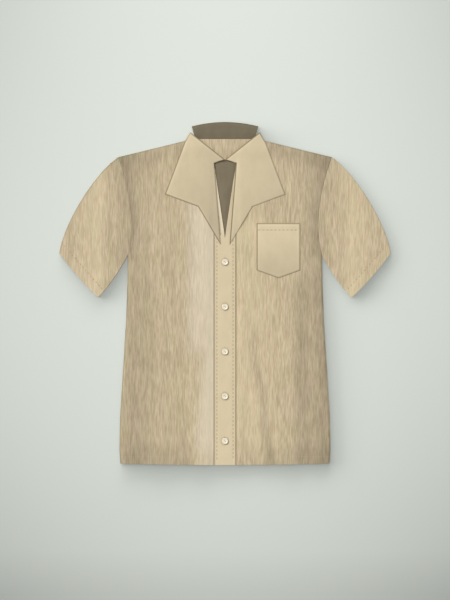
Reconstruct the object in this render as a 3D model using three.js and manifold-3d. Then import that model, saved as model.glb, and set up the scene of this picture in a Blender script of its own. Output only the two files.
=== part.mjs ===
// Camp shirt, laid flat on its back with the front up.
//
// Units are millimetres and +Z is up. The cloth rests on the plane Z = 0, the
// neck points to +Y and +X is the wearer's left. The origin is the middle of
// the shirt's footprint. Every piece is one wall of cloth, and the layers are
// stacked from the surface up: collar fall, back, fronts, bands, collar leaves.

import * as THREE from 'three';
import * as BufferGeometryUtils from 'three/addons/utils/BufferGeometryUtils.js';
import Module from 'manifold-3d';

const wasm = await Module();
wasm.setup();

// ------------------------------------------------------------ driving dimensions

const WALL = 1.0; // thickness of one layer of cloth
const GAP = 0.3; // air between two layers, and between two pieces at a seam
const LAYER = WALL + GAP; // height that one layer adds to the stack

const HEM_Y = -386.7; // hem at the centre front
const HEM_CORNER_Y = -383.3; // hem at the side seams
const ARMPIT = new THREE.Vector2(218.8, 84);
const SHOULDER_TIP = new THREE.Vector2(240.5, 305.6);
const NECK_POINT = new THREE.Vector2(73.5, 346.3); // shoulder seam meets the neck seam
const ROLL_TOP_Y = 384.8; // top of the collar's roll at the centre back

const BAND_HALF = 24.3; // half the width of the button band
const V_TOP = new THREE.Vector2(24.6, 292.1); // front edge where the lapel turns in
const V_TIP_Y = 125.6; // where the two front edges cross
const BAND_CORNER_Y = 138; // top corner of the upper band, under the right lapel

const SLEEVE_TOP_CORNER = new THREE.Vector2(372.8, 90.5);
const SLEEVE_UNDER_CORNER = new THREE.Vector2(284.8, -10.2);
const SLEEVE_HEM_BOW = 3.2; // the sleeve hem bulges this much past a straight line

const BUTTON_DIAMETER = 14;
const BUTTON_THICKNESS = 2.4;
const BUTTON_TOP_Y = 69.8; // centre of the top button
const BUTTON_PITCH = 100.6;
const BUTTON_COUNT = 5;
const BUTTONHOLE_LENGTH = 16;
const BUTTONHOLE_WIDTH = 3;

const POCKET = { inner: 71.2, outer: 168.6, top: 157.3, corner: 51.5, point: 34 };
const POCKET_CLEAR = 0.1; // more room under the pocket, which is faceted less finely than its front

// Half-width of the body down the side seam, from the hem to the armpit.
const SIDE_SEAM = [
  { level: HEM_CORNER_Y, half: 235.4 },
  { level: -352, half: 237.3 },
  { level: -285, half: 236.2 },
  { level: -185, half: 230.2 },
  { level: -105, half: 225.0 },
  { level: -15, half: 219.8 },
  { level: ARMPIT.y, half: ARMPIT.x },
];

// Soft folds that run down the fronts and the sleeves. Each is a ridge from one
// end to the other, with a flank `minus` wide on its -X side and one `plus` wide
// on its +X side, and `height` high.
const FOLDS = [
  { name: 'beside_band', x0: -44, y0: 205, x1: -46, y1: -460, minus: 50, plus: 18, height: 1.5 },
  { name: 'mid_right', x0: -152, y0: 150, x1: -158, y1: -460, minus: 20, plus: 58, height: 1.5 },
  { name: 'side_right', x0: -216, y0: 60, x1: -226, y1: -460, minus: 16, plus: 44, height: 1.3 },
  { name: 'beside_pocket', x0: 49, y0: -60, x1: 110, y1: -470, minus: 30, plus: 17, height: 1.5 },
  { name: 'mid_left', x0: 146, y0: 60, x1: 152, y1: -460, minus: 54, plus: 30, height: 2.0 },
  { name: 'side_left', x0: 200, y0: 90, x1: 206, y1: -460, minus: 16, plus: 34, height: 1.3 },
  { name: 'sleeve_right', x0: -268, y0: 262, x1: -276, y1: -60, minus: 30, plus: 26, height: 1.3 },
  { name: 'sleeve_left', x0: 318, y0: 262, x1: 306, y1: -60, minus: 32, plus: 26, height: 1.3 },
];
const FOLD_END = 60; // length over which a fold rises out of the flat cloth
const PUFF = 0.7; // height of the upper layer away from its edges

const CLOTH = new THREE.Color(0xbfb091);
const SMOOTH_CLOTH = new THREE.Color(0xd3c19c);
const DARK_CLOTH = new THREE.Color(0x776d5c);
const PEARL = new THREE.Color(0xece4d0);

// ------------------------------------------------------------ small helpers

const lerp = THREE.MathUtils.lerp;

/** Rises smoothly from 0 at `from` to 1 at `to`, which may lie either way. */
function ramp(from, to, value) {
  const t = THREE.MathUtils.clamp((value - from) / (to - from), 0, 1);
  return t * t * (3 - 2 * t);
}

/** Distance from (x, y) to the segment a-b, and how far along it the foot lies. */
function segmentFoot(x, y, ax, ay, bx, by) {
  const dx = bx - ax;
  const dy = by - ay;
  const along = THREE.MathUtils.clamp(((x - ax) * dx + (y - ay) * dy) / (dx * dx + dy * dy), 0, 1);
  const distance = Math.hypot(x - ax - along * dx, y - ay - along * dy);
  return { along, distance, length: Math.hypot(dx, dy) };
}

function distanceToPath(x, y, path) {
  let nearest = Infinity;
  for (let i = 1; i < path.length; i += 1) {
    const foot = segmentFoot(x, y, path[i - 1].x, path[i - 1].y, path[i].x, path[i].y);
    nearest = Math.min(nearest, foot.distance);
  }
  return nearest;
}

/** A closed mesh from points and triangles, turned so that its faces point out. */
function closedGeometry(points, triangles) {
  let volume = 0;
  for (const [a, b, c] of triangles) {
    volume += points[a].dot(points[b].clone().cross(points[c]));
  }
  const facing = volume < 0 ? triangles.map(([a, b, c]) => [a, c, b]) : triangles;
  const geometry = new THREE.BufferGeometry();
  const positions = points.flatMap((point) => [point.x, point.y, point.z]);
  geometry.setAttribute('position', new THREE.Float32BufferAttribute(positions, 3));
  geometry.setIndex(facing.flat());
  geometry.computeVertexNormals();
  return geometry;
}

/** The wall between two equal grids of points. A ring joins each row's end to its start. */
function wallBetween(outer, inner, ring = false) {
  const rows = outer.length;
  const columns = outer[0].length;
  const points = [...outer.flat(), ...inner.flat()];
  const out = (row, column) => row * columns + (column % columns);
  const into = (row, column) => rows * columns + out(row, column);
  const triangles = [];
  const quad = (a, b, c, d) => triangles.push([a, b, c], [a, c, d]);
  const spans = ring ? columns : columns - 1;
  const lastRow = rows - 1;
  const lastColumn = columns - 1;
  for (let c = 0; c < spans; c += 1) {
    for (let r = 0; r < lastRow; r += 1) {
      quad(out(r, c), out(r, c + 1), out(r + 1, c + 1), out(r + 1, c));
      quad(into(r, c), into(r + 1, c), into(r + 1, c + 1), into(r, c + 1));
    }
    quad(out(0, c), into(0, c), into(0, c + 1), out(0, c + 1));
    quad(out(lastRow, c), out(lastRow, c + 1), into(lastRow, c + 1), into(lastRow, c));
  }
  if (!ring) {
    for (let r = 0; r < lastRow; r += 1) {
      quad(out(r, 0), out(r + 1, 0), into(r + 1, 0), into(r, 0));
      quad(
        out(r, lastColumn),
        into(r, lastColumn),
        into(r + 1, lastColumn),
        out(r + 1, lastColumn),
      );
    }
  }
  return closedGeometry(points, triangles);
}

/** Rows of plan points, each ruled straight from a left point to a right point. */
function ruledRows(left, right, columns) {
  return left.map((start, row) => {
    const fractions = Array.from({ length: columns }, (_, column) => column / (columns - 1));
    return fractions.map((fraction) => start.clone().lerp(right[row], fraction));
  });
}

/** A sheet one wall thick over rows of plan points, its underside at `under(x, y)`. */
function sheet(rows, under) {
  const surface = (above) => rows.map((row) => row.map((point) => {
    const z = under(point.x, point.y) + above;
    return new THREE.Vector3(point.x, point.y, z);
  }));
  return wallBetween(surface(WALL), surface(0));
}

const mirrored = (points) => points.map((point) => new THREE.Vector2(-point.x, point.y));

// ------------------------------------------------------------ outline of the shirt

function sideHalf(y) {
  const upper = SIDE_SEAM.findIndex((row) => row.level >= y);
  if (upper < 1) {
    return upper === 0 ? SIDE_SEAM[0].half : ARMPIT.x;
  }
  const a = SIDE_SEAM[upper - 1];
  const b = SIDE_SEAM[upper];
  return lerp(a.half, b.half, (y - a.level) / (b.level - a.level));
}

const sidePath = SIDE_SEAM.map((row) => new THREE.Vector2(row.half, row.level));
const armhole = new THREE.CubicBezierCurve(
  ARMPIT,
  new THREE.Vector2(200, 150),
  new THREE.Vector2(212, 232),
  SHOULDER_TIP,
);
const sleeveFold = new THREE.CubicBezierCurve(
  SHOULDER_TIP,
  new THREE.Vector2(291.5, 272),
  new THREE.Vector2(363, 158),
  SLEEVE_TOP_CORNER,
);
const underarm = new THREE.QuadraticBezierCurve(
  ARMPIT,
  new THREE.Vector2(247, 30),
  SLEEVE_UNDER_CORNER,
);

function sleeveHem(fraction) {
  const along = SLEEVE_UNDER_CORNER.clone().sub(SLEEVE_TOP_CORNER);
  const outward = new THREE.Vector2(-along.y, along.x).normalize();
  const bow = SLEEVE_HEM_BOW * 4 * fraction * (1 - fraction);
  return SLEEVE_TOP_CORNER.clone().lerp(SLEEVE_UNDER_CORNER, fraction).addScaledVector(outward, bow);
}

const hemY = (x) => lerp(HEM_Y, HEM_CORNER_Y, (x / sidePath[0].x) ** 2);
const neckEdge = (fraction) => V_TOP.clone().lerp(NECK_POINT, fraction);
const vEdgeX = (y) => (V_TOP.x * (y - V_TIP_Y)) / (V_TOP.y - V_TIP_Y);

// ------------------------------------------------------------ heights of the layers

const EDGE_FADE = 24; // the upper layer comes down to the lower one over this width
const BAND_FADE = [12, 16]; // and beside the band over these widths, -X side and +X side
const foldedEdges = [
  sidePath,
  [SHOULDER_TIP, NECK_POINT],
  sleeveFold.getPoints(12),
  underarm.getPoints(6),
];

/** Height of one fold: a ridge with a cosine flank on each side. */
function foldHeight(x, y, fold) {
  const dx = fold.x1 - fold.x0;
  const dy = fold.y1 - fold.y0;
  const length = Math.hypot(dx, dy);
  const along = ((x - fold.x0) * dx + (y - fold.y0) * dy) / length;
  const across = (-(x - fold.x0) * dy + (y - fold.y0) * dx) / length;
  const width = across < 0 ? fold.minus : fold.plus;
  const share = THREE.MathUtils.clamp(across / width, -1, 1);
  return fold.height * (0.5 + 0.5 * Math.cos(Math.PI * share)) * ramp(0, FOLD_END, along);
}

/** How high the upper layer stands above its lowest place. */
function lift(x, y) {
  const toEdge = Math.min(...foldedEdges.map((path) => distanceToPath(Math.abs(x), y, path)));
  const besideBand = ramp(BAND_HALF, BAND_HALF + BAND_FADE[x < 0 ? 0 : 1], Math.abs(x));
  const height = FOLDS.reduce((sum, fold) => sum + foldHeight(x, y, fold), PUFF);
  return ramp(0, EDGE_FADE, toEdge) * besideBand * height;
}

/** The back's neck is raised to lie over the collar's fall. */
const overFall = (x, y) => LAYER * ramp(300, 332, y) * ramp(125, 100, Math.abs(x));

/** The left front rises beside its band, because that band lies over the right one. */
const LAP_FADE_X = [64, 27];
const LAP_FADE_Y = [212, 148];
const lap = (x, y) => LAYER * ramp(...LAP_FADE_X, x) * ramp(...LAP_FADE_Y, y);

/** More room between the layers where they climb over the fall. */
const SHOULDER_SLACK = 0.5;
const slack = (x, y) => SHOULDER_SLACK * ramp(290, 320, y) * ramp(148, 114, Math.abs(x));

// Undersides of the two fronts, which lie on the back.
const rightUnder = (x, y) => LAYER + overFall(x, y) + slack(x, y) + lift(x, y);
const leftUnder = (x, y) => rightUnder(x, y) + lap(x, y);

// ------------------------------------------------------------ body panels

const FRONT_COLUMNS = 15;

// Levels of the rows below the armpit, at the side seam and at the button band.
const LOWER_ROWS = [
  { side: HEM_CORNER_Y, centre: HEM_Y },
  { side: -352, centre: -354 },
  { side: -318, centre: -320 },
  { side: -285, centre: -286 },
  { side: -235, centre: -236 },
  { side: -185, centre: -186 },
  { side: -145, centre: -145 },
  { side: -105, centre: -104 },
  { side: -60, centre: -58 },
  { side: -15, centre: -10 },
  { side: 25, centre: 34 },
  { side: 58, centre: 72 },
  { side: ARMPIT.y, centre: 104 },
];

// Rows from the armpit to the shoulder start at equal steps up the armhole. Each
// ends on the front edge or, past it, at a share of the way along the neck edge.
const UPPER_ROWS = [
  { edge: 128 },
  { edge: 152 },
  { edge: 176 },
  { edge: 200 },
  { edge: 224 },
  { edge: 248 },
  { edge: 270 },
  { edge: V_TOP.y },
  { neck: 0.25 },
  { neck: 0.5 },
  { neck: 0.75 },
  { neck: 1 },
];
const armholePoints = UPPER_ROWS.map((_, index) => armhole.getPoint((index + 1) / UPPER_ROWS.length));

function frontRows() {
  const side = [
    ...LOWER_ROWS.map((row) => new THREE.Vector2(sideHalf(row.side), row.side)),
    ...armholePoints,
  ];
  const centre = [
    ...LOWER_ROWS.map((row) => new THREE.Vector2(V_TOP.x, row.centre)),
    ...UPPER_ROWS.map((row) => {
      const onFrontEdge = row.edge !== undefined;
      return onFrontEdge ? new THREE.Vector2(V_TOP.x, row.edge) : neckEdge(row.neck);
    }),
  ];
  const rows = ruledRows(side, centre, FRONT_COLUMNS);
  rows[0].forEach((point) => point.setY(hemY(point.x)));
  return rows;
}

/** One row of the back: out from the middle to the neck point's width, then on to the side. */
function backRow(side, centreLevel) {
  const outward = [0, 0.2, 0.4, 0.6, 0.8, 1].map((share) => (
    new THREE.Vector2(lerp(NECK_POINT.x, side.x, share), lerp(centreLevel, side.y, share))
  ));
  const half = [new THREE.Vector2(NECK_POINT.x / 2, centreLevel), ...outward];
  return [...mirrored(half).reverse(), new THREE.Vector2(0, centreLevel), ...half];
}

function backRows() {
  const lower = LOWER_ROWS.filter((_, index) => index % 2 === 0);
  const rows = [
    ...lower.map((row) => backRow(new THREE.Vector2(sideHalf(row.side), row.side), row.centre)),
    ...UPPER_ROWS.map((row, index) => {
      const centreLevel = row.edge ?? neckEdge(row.neck).y;
      return backRow(armholePoints[index], centreLevel);
    }),
  ];
  rows[0].forEach((point) => point.setY(hemY(point.x)));
  return rows;
}

const backPanel = () => sheet(backRows(), overFall);
const frontLeft = () => sheet(frontRows(), leftUnder);
const frontRight = () => sheet(frontRows().map(mirrored), rightUnder);

// The facing inside the back neck ends on a shallow curve just under the leaves.
const FACING = { top: NECK_POINT.y, topHalf: 71.5, bottom: 299.3, bottomHalf: 29.5 };

function backNeckFacing() {
  const shares = [0, 1 / 6, 1 / 3, 1 / 2, 2 / 3, 5 / 6, 1];
  const right = shares.map((share) => new THREE.Vector2(
    lerp(FACING.topHalf, FACING.bottomHalf, share),
    lerp(FACING.top, FACING.bottom, share),
  ));
  const columns = 7;
  return sheet(ruledRows(mirrored(right), right, columns), (x, y) => LAYER + overFall(x, y) + slack(x, y));
}

// ------------------------------------------------------------ button bands

const BAND_COLUMNS = 5;
const UNDER_BAND_EDGE = 22; // right-hand edge of the lower band, hidden by the upper one
const BAND_LEVELS = [HEM_Y, -320, -240, -160, -80, 0];

// The upper band's rows past its full width: each runs from the edge that
// crosses over, and then from the front edge of the V, to its seam.
const BAND_TOP_ROWS = [
  { x: -BAND_HALF, y: 90, seam: 60 },
  { x: -BAND_HALF, y: BAND_CORNER_Y, seam: 96 },
  { x: -12, y: 131.9, seam: 108 },
  { x: 0.4, y: V_TIP_Y, seam: 120 },
  { x: vEdgeX(150), y: 150, seam: 150 },
  { x: vEdgeX(180), y: 180, seam: 180 },
  { x: vEdgeX(215), y: 215, seam: 215 },
  { x: vEdgeX(250), y: 250, seam: 250 },
  { x: vEdgeX(283), y: 283, seam: 283 },
];

function bandLeft() {
  const left = [
    ...BAND_LEVELS.map((y) => new THREE.Vector2(-BAND_HALF, y)),
    ...BAND_TOP_ROWS.map((row) => new THREE.Vector2(row.x, row.y)),
  ];
  const right = [
    ...BAND_LEVELS.map((y) => new THREE.Vector2(BAND_HALF, y)),
    ...BAND_TOP_ROWS.map((row) => new THREE.Vector2(BAND_HALF, row.seam)),
  ];
  const overBack = (x, y) => LAYER + LAYER * ramp(...LAP_FADE_Y, y);
  const full = sheet(ruledRows(left, right, BAND_COLUMNS), overBack);
  const holes = buttonLevels().map((y) => {
    const hole = new THREE.BoxGeometry(BUTTONHOLE_WIDTH, BUTTONHOLE_LENGTH, 4 * WALL);
    return hole.translate(0, y, 2 * LAYER);
  });
  return cut(full, holes);
}

const UNDER_BAND_LEVELS = [HEM_Y, -320, -240, -160, -80, -20, 40, 90, V_TIP_Y, 165, 205, 245, 280];

function bandRight() {
  const levels = UNDER_BAND_LEVELS;
  const left = levels.map((y) => new THREE.Vector2(-BAND_HALF, y));
  const right = levels.map((y) => new THREE.Vector2(Math.min(UNDER_BAND_EDGE, -vEdgeX(y)), y));
  return sheet(ruledRows(left, right, BAND_COLUMNS), () => LAYER);
}

// ------------------------------------------------------------ buttons

function buttonLevels() {
  return Array.from({ length: BUTTON_COUNT }, (_, index) => BUTTON_TOP_Y - index * BUTTON_PITCH);
}

function toManifold(geometry) {
  const bare = geometry.clone();
  bare.deleteAttribute('normal');
  bare.deleteAttribute('uv');
  const merged = BufferGeometryUtils.mergeVertices(bare, 1e-4);
  return new wasm.Manifold(
    new wasm.Mesh({
      numProp: 3,
      vertProperties: new Float32Array(merged.attributes.position.array),
      triVerts: new Uint32Array(merged.index.array),
    }),
  );
}

function fromManifold(solid) {
  const mesh = solid.getMesh();
  const geometry = new THREE.BufferGeometry();
  const positions = new Float32Array(mesh.vertProperties);
  geometry.setAttribute('position', new THREE.BufferAttribute(positions, 3));
  geometry.setIndex(new THREE.BufferAttribute(new Uint32Array(mesh.triVerts), 1));
  geometry.computeVertexNormals();
  return geometry;
}

function cut(geometry, tools) {
  const whole = toManifold(geometry);
  return fromManifold(tools.reduce((solid, tool) => solid.subtract(toManifold(tool)), whole));
}

/** A two-hole button with a raised rim, on the thread shank that passes the buttonhole. */
function buttonGeometry() {
  const radius = BUTTON_DIAMETER / 2;
  const segments = 24;
  const shankRadius = 1.1;
  const shankInDisc = 0.5;
  const holeRadius = 0.8;
  const holeOffset = 1.7;
  const turn = THREE.MathUtils.degToRad(-42);
  const profile = [
    [0, 0],
    [radius - 1.4, 0],
    [radius, 0.8],
    [radius, 1.6],
    [radius - 0.8, BUTTON_THICKNESS],
    [radius - 2.2, BUTTON_THICKNESS - 0.3],
    [radius - 3.0, BUTTON_THICKNESS - 0.9],
    [0, BUTTON_THICKNESS - 0.9],
  ].map(([x, z]) => new THREE.Vector2(x, z));
  const disc = new THREE.LatheGeometry(profile, segments).rotateX(Math.PI / 2);
  const holes = [-1, 1].map((side) => {
    const hole = new THREE.CylinderGeometry(holeRadius, holeRadius, 4 * BUTTON_THICKNESS, 8);
    const offset = side * holeOffset;
    return hole.rotateX(Math.PI / 2).translate(offset * Math.cos(turn), offset * Math.sin(turn), 0);
  });
  const shankLength = LAYER + shankInDisc;
  const shank = new THREE.CylinderGeometry(shankRadius, shankRadius, shankLength, 10);
  shank.rotateX(Math.PI / 2).translate(0, 0, shankInDisc - shankLength / 2);
  return fromManifold(toManifold(cut(disc, holes)).add(toManifold(shank)));
}

const BUTTON_UNDER = 3 * LAYER; // the disc lies just over the upper band

// ------------------------------------------------------------ sleeves

const SLEEVE_STATIONS = 10;
const SLEEVE_COLUMNS = UPPER_ROWS.length + 1; // they meet the rows of the front and the back
const EDGE_ROUND = 0.8; // the folded edges of the tube are rounded by this much
const SEAM_SHARE = 0.002; // share of the sleeve's length left open at the armhole seam

/** Plan point of the sleeve: `along` from armhole to hem, `across` from fold to underarm. */
function sleevePlan(along, across) {
  const fold = sleeveFold.getPoint(along);
  const under = underarm.getPoint(along);
  const top = armhole.getPoint(1 - across);
  const hem = sleeveHem(across);
  const blended = fold.clone().multiplyScalar(1 - across).addScaledVector(under, across);
  blended.addScaledVector(top, 1 - along).addScaledVector(hem, along);
  blended.addScaledVector(SHOULDER_TIP, -(1 - across) * (1 - along));
  blended.addScaledVector(ARMPIT, -across * (1 - along));
  blended.addScaledVector(SLEEVE_TOP_CORNER, -(1 - across) * along);
  blended.addScaledVector(SLEEVE_UNDER_CORNER, -across * along);
  return blended;
}

/** One flattened ring of the tube, set in from its outline: top layer, then bottom layer. */
function sleeveRing(along, inset, topAbove, bottomAbove) {
  const last = SLEEVE_COLUMNS - 1;
  const row = Array.from({ length: SLEEVE_COLUMNS }, (_, column) => sleevePlan(along, column / last));
  const inward = row[last].clone().sub(row[0]).normalize();
  const edge = [row[0].clone(), row[last].clone()];
  row[0].addScaledVector(inward, EDGE_ROUND + inset);
  row[last].addScaledVector(inward, -EDGE_ROUND - inset);
  edge[0].addScaledVector(inward, inset);
  edge[1].addScaledVector(inward, -inset);
  const middle = (LAYER + WALL) / 2;
  const place = (point, z) => new THREE.Vector3(point.x, point.y, z);
  return [
    ...row.map((point) => place(point, topAbove + lift(point.x, point.y))),
    place(edge[1], middle),
    ...row.map((point) => place(point, bottomAbove)).reverse(),
    place(edge[0], middle),
  ];
}

function sleeveLeft() {
  const stations = Array.from({ length: SLEEVE_STATIONS }, (_, index) => {
    const share = index / (SLEEVE_STATIONS - 1);
    return lerp(SEAM_SHARE, 1, share);
  });
  const outer = stations.map((along) => sleeveRing(along, 0, LAYER + WALL, 0));
  const inner = stations.map((along) => sleeveRing(along, WALL, LAYER, WALL));
  return wallBetween(outer, inner, true);
}

// ------------------------------------------------------------ pocket

function pocketPatch() {
  const columns = 7;
  const middle = (POCKET.inner + POCKET.outer) / 2;
  const halfWidth = (POCKET.outer - POCKET.inner) / 2;
  const rows = [0, 0.25, 0.5, 0.75, 1].map((fraction) => (
    Array.from({ length: columns }, (_, column) => {
      const x = lerp(POCKET.inner, POCKET.outer, column / (columns - 1));
      const bottom = lerp(POCKET.point, POCKET.corner, Math.abs(x - middle) / halfWidth);
      return new THREE.Vector2(x, lerp(POCKET.top, bottom, fraction));
    })
  ));
  return sheet(rows, (x, y) => leftUnder(x, y) + LAYER + POCKET_CLEAR);
}

// ------------------------------------------------------------ collar

const LEAF_TOP = new THREE.Vector2(78.4, 361.5); // where the roll line leaves the side neck
const LEAF_SHOULDER = new THREE.Vector2(91.0, 339.5); // where the leaf crosses the shoulder seam
const LEAF_MEET = new THREE.Vector2(GAP / 2, 299.9); // the two leaves touch on the centre line
const COLLAR_POINT = new THREE.Vector2(135.1, 222.3);
const LAPEL_NOTCH = new THREE.Vector2(60.9, 194.6); // where the collar's edge turns into the lapel's
const LAPEL_TIP = new THREE.Vector2(10.2, 109.1);
const LEAF_CLEAR = 0.6; // room between the leaf and what it lies on
const UNDER_COLLAR = 24; // width that is turned under along the roll line
const ROLL_RADIUS = 1.6; // of the turned edge, at the middle of the wall

// Rows across a leaf: its inner edge on the path from LEAF_TOP by LEAF_MEET and
// V_TOP to LAPEL_TIP, its outer edge from LEAF_SHOULDER by COLLAR_POINT and
// LAPEL_NOTCH to LAPEL_TIP. `under` is the share of UNDER_COLLAR turned under,
// and `roll` the share of ROLL_RADIUS that the turned edge has there.
const LEAF_ROWS = [
  { inner: 0, outer: 0, under: 0.4, roll: 1 },
  { inner: 0.2, outer: 0.12, under: 0.7, roll: 1 },
  { inner: 0.4, outer: 0.24, under: 0.9, roll: 1 },
  { inner: 0.6, outer: 0.36, under: 1, roll: 1 },
  { inner: 0.8, outer: 0.47, under: 0.9, roll: 1 },
  { inner: 0.93, outer: 0.54, under: 0.6, roll: 0.8 },
  { inner: 1, outer: 0.58, under: 0.1, roll: 0.6 },
  { inner: 2, outer: 0.68, under: 0.1, roll: 0.6 },
  { inner: 2.02, outer: 0.84, under: 0.2, roll: 0.7 },
  { inner: 2.04, outer: 1, under: 0.3, roll: 0.8 },
  { inner: 2.08, outer: 1.5, under: 0.35, roll: 0.9 },
  { inner: 2.18, outer: 2, under: 0.35, roll: 1 },
  { inner: 2.34, outer: 2.2, under: 0.35, roll: 1 },
  { inner: 2.52, outer: 2.4, under: 0.35, roll: 1 },
  { inner: 2.68, outer: 2.6, under: 0.3, roll: 1 },
  { inner: 2.83, outer: 2.78, under: 0.25, roll: 1 },
  { inner: 2.93, outer: 2.92, under: 0.18, roll: 1 },
  { inner: 2.985, outer: 3, under: 0.08, roll: 1 },
];

// The leaf's top layer at shares of its width, counted from the rolled edge.
const LEAF_SHARES = [0, 0.1, 0.2, 0.32, 0.48, 0.65, 0.82, 1];

function alongPath(path, position) {
  const leg = Math.min(Math.floor(position), path.length - 2);
  return path[leg].clone().lerp(path[leg + 1], position - leg);
}

/** Height of the cloth that a leaf lies on. */
const leafFloor = (x, y) => rightUnder(Math.abs(x), y) + WALL + lap(Math.abs(x), y);

/** Middle of the leaf's wall across one row, from the turned-under end to the outer edge. */
function leafSection(row, side) {
  const inner = alongPath([LEAF_TOP, LEAF_MEET, V_TOP, LAPEL_TIP], row.inner);
  const outer = alongPath([LEAF_SHOULDER, COLLAR_POINT, LAPEL_NOTCH, LAPEL_TIP], row.outer);
  const width = inner.distanceTo(outer);
  const across = outer.clone().sub(inner).normalize();
  const radius = Math.min(ROLL_RADIUS * row.roll, WALL / 2 + 0.04 * width);
  const roll = radius + WALL / 2;
  const turned = Math.max(roll + 0.4, Math.min(UNDER_COLLAR * row.under, 0.6 * width));
  const floor = (distance) => {
    const place = inner.clone().addScaledVector(across, distance);
    return leafFloor(place.x, place.y) + LEAF_CLEAR + WALL / 2;
  };
  const points = [];
  for (const distance of [turned, (turned + roll) / 2, roll]) {
    points.push({ distance, z: floor(distance) });
  }
  for (const angle of [-45, 0, 45]) {
    const turn = THREE.MathUtils.degToRad(angle);
    const distance = roll - radius * Math.cos(turn);
    points.push({ distance, z: floor(roll) + radius * (1 + Math.sin(turn)) });
  }
  for (const share of LEAF_SHARES) {
    const distance = lerp(roll, width, share);
    const overRoll = 2 * radius * ramp(0.9 * width, roll, distance);
    const overTurned = LAYER * ramp(turned + 14, turned + 2, distance);
    points.push({ distance, z: floor(distance) + Math.max(overRoll, overTurned) });
  }
  return points.map(({ distance, z }) => {
    const place = inner.clone().addScaledVector(across, distance);
    return new THREE.Vector3(side * place.x, place.y, z);
  });
}

/** Moves a section's points half a wall to one side, in the upright plane that holds it. */
function offsetSection(section, amount) {
  const start = section[0];
  const end = section[section.length - 1];
  const heading = new THREE.Vector2(end.x - start.x, end.y - start.y).normalize();
  return section.map((point, index) => {
    const before = section[Math.max(index - 1, 0)];
    const after = section[Math.min(index + 1, section.length - 1)];
    const forward = (after.x - before.x) * heading.x + (after.y - before.y) * heading.y;
    const rise = after.z - before.z;
    const length = Math.hypot(forward, rise);
    const sideways = (-rise / length) * amount;
    return new THREE.Vector3(
      point.x + heading.x * sideways,
      point.y + heading.y * sideways,
      point.z + (forward / length) * amount,
    );
  });
}

function collarLeaf(side) {
  const sections = LEAF_ROWS.map((row) => leafSection(row, side));
  const outer = sections.map((section) => offsetSection(section, WALL / 2));
  const inner = sections.map((section) => offsetSection(section, -WALL / 2));
  return wallBetween(outer, inner);
}

// At the back of the neck the stand shows its inside, and the fall lies under the back.
const ROLL_CORNER = new THREE.Vector2(75, 375); // end of the roll line at the side neck
const STAND_FOOT = new THREE.Vector2(66.5, NECK_POINT.y + GAP);
const NECK_DIP = new THREE.Vector2(69.5, 355); // dip between the stand and the leaf
const FALL_EDGE_Y = 336.5; // lower edge of the fall, under the back
const STAND_PUFF = 1.6;

const rollY = (x) => lerp(ROLL_TOP_Y, ROLL_CORNER.y, (x / ROLL_CORNER.x) ** 2);

function collarStand() {
  const levels = [0, 0.2, 0.45, 0.7, 0.88, 1];
  const columns = 13;
  const rows = levels.map((level) => (
    Array.from({ length: columns }, (_, column) => {
      const share = lerp(-1, 1, column / (columns - 1));
      const half = lerp(STAND_FOOT.x, ROLL_CORNER.x, level);
      const y = lerp(STAND_FOOT.y, rollY(share * ROLL_CORNER.x), level);
      return new THREE.Vector2(share * half, y);
    })
  ));
  const height = (y) => STAND_PUFF * ramp(STAND_FOOT.y, 362, y) * ramp(ROLL_TOP_Y, 374, y);
  return sheet(rows, (x, y) => LAYER + height(y));
}

/** The fall is a flat plate on the surface, with its corners under the two leaves. */
function collarFall() {
  const outline = new THREE.Shape();
  const lowest = new THREE.Vector2(LEAF_SHOULDER.x, FALL_EDGE_Y);
  const corners = [NECK_DIP, LEAF_TOP, LEAF_SHOULDER, lowest];
  outline.moveTo(-ROLL_CORNER.x, ROLL_CORNER.y);
  outline.quadraticCurveTo(0, 2 * ROLL_TOP_Y - ROLL_CORNER.y, ROLL_CORNER.x, ROLL_CORNER.y);
  corners.forEach((corner) => outline.lineTo(corner.x, corner.y));
  mirrored(corners).reverse().forEach((corner) => outline.lineTo(corner.x, corner.y));
  return new THREE.ExtrudeGeometry(outline, { depth: WALL, bevelEnabled: false, curveSegments: 10 });
}

// ------------------------------------------------------------ the shirt

const shirt = new THREE.Group();
shirt.name = 'camp_shirt';

function addPiece(name, geometry, color, roughness = 0.9) {
  const material = new THREE.MeshStandardMaterial({ color, roughness, metalness: 0 });
  const mesh = new THREE.Mesh(geometry, material);
  mesh.name = name;
  shirt.add(mesh);
  return mesh;
}

function mirrorGeometry(geometry) {
  const copy = geometry.clone().scale(-1, 1, 1);
  const index = Array.from(copy.index.array);
  for (let i = 0; i < index.length; i += 3) {
    [index[i + 1], index[i + 2]] = [index[i + 2], index[i + 1]];
  }
  copy.setIndex(index);
  copy.computeVertexNormals();
  return copy;
}

addPiece('back', backPanel(), CLOTH);
addPiece('back_neck_facing', backNeckFacing(), CLOTH);
addPiece('front_left', frontLeft(), CLOTH);
addPiece('front_right', frontRight(), CLOTH);
addPiece('band_left', bandLeft(), SMOOTH_CLOTH);
addPiece('band_right', bandRight(), SMOOTH_CLOTH);
addPiece('sleeve_left', sleeveLeft(), CLOTH);
addPiece('sleeve_right', mirrorGeometry(sleeveLeft()), CLOTH);
addPiece('pocket', pocketPatch(), SMOOTH_CLOTH);
addPiece('collar_left', collarLeaf(1), SMOOTH_CLOTH);
addPiece('collar_right', collarLeaf(-1), SMOOTH_CLOTH);
addPiece('collar_stand', collarStand(), DARK_CLOTH);
addPiece('collar_fall', collarFall(), SMOOTH_CLOTH);
buttonLevels().forEach((y, index) => {
  const button = addPiece(`button_${index + 1}`, buttonGeometry(), PEARL, 0.3);
  button.position.set(0, y, BUTTON_UNDER);
});

export default shirt;
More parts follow.
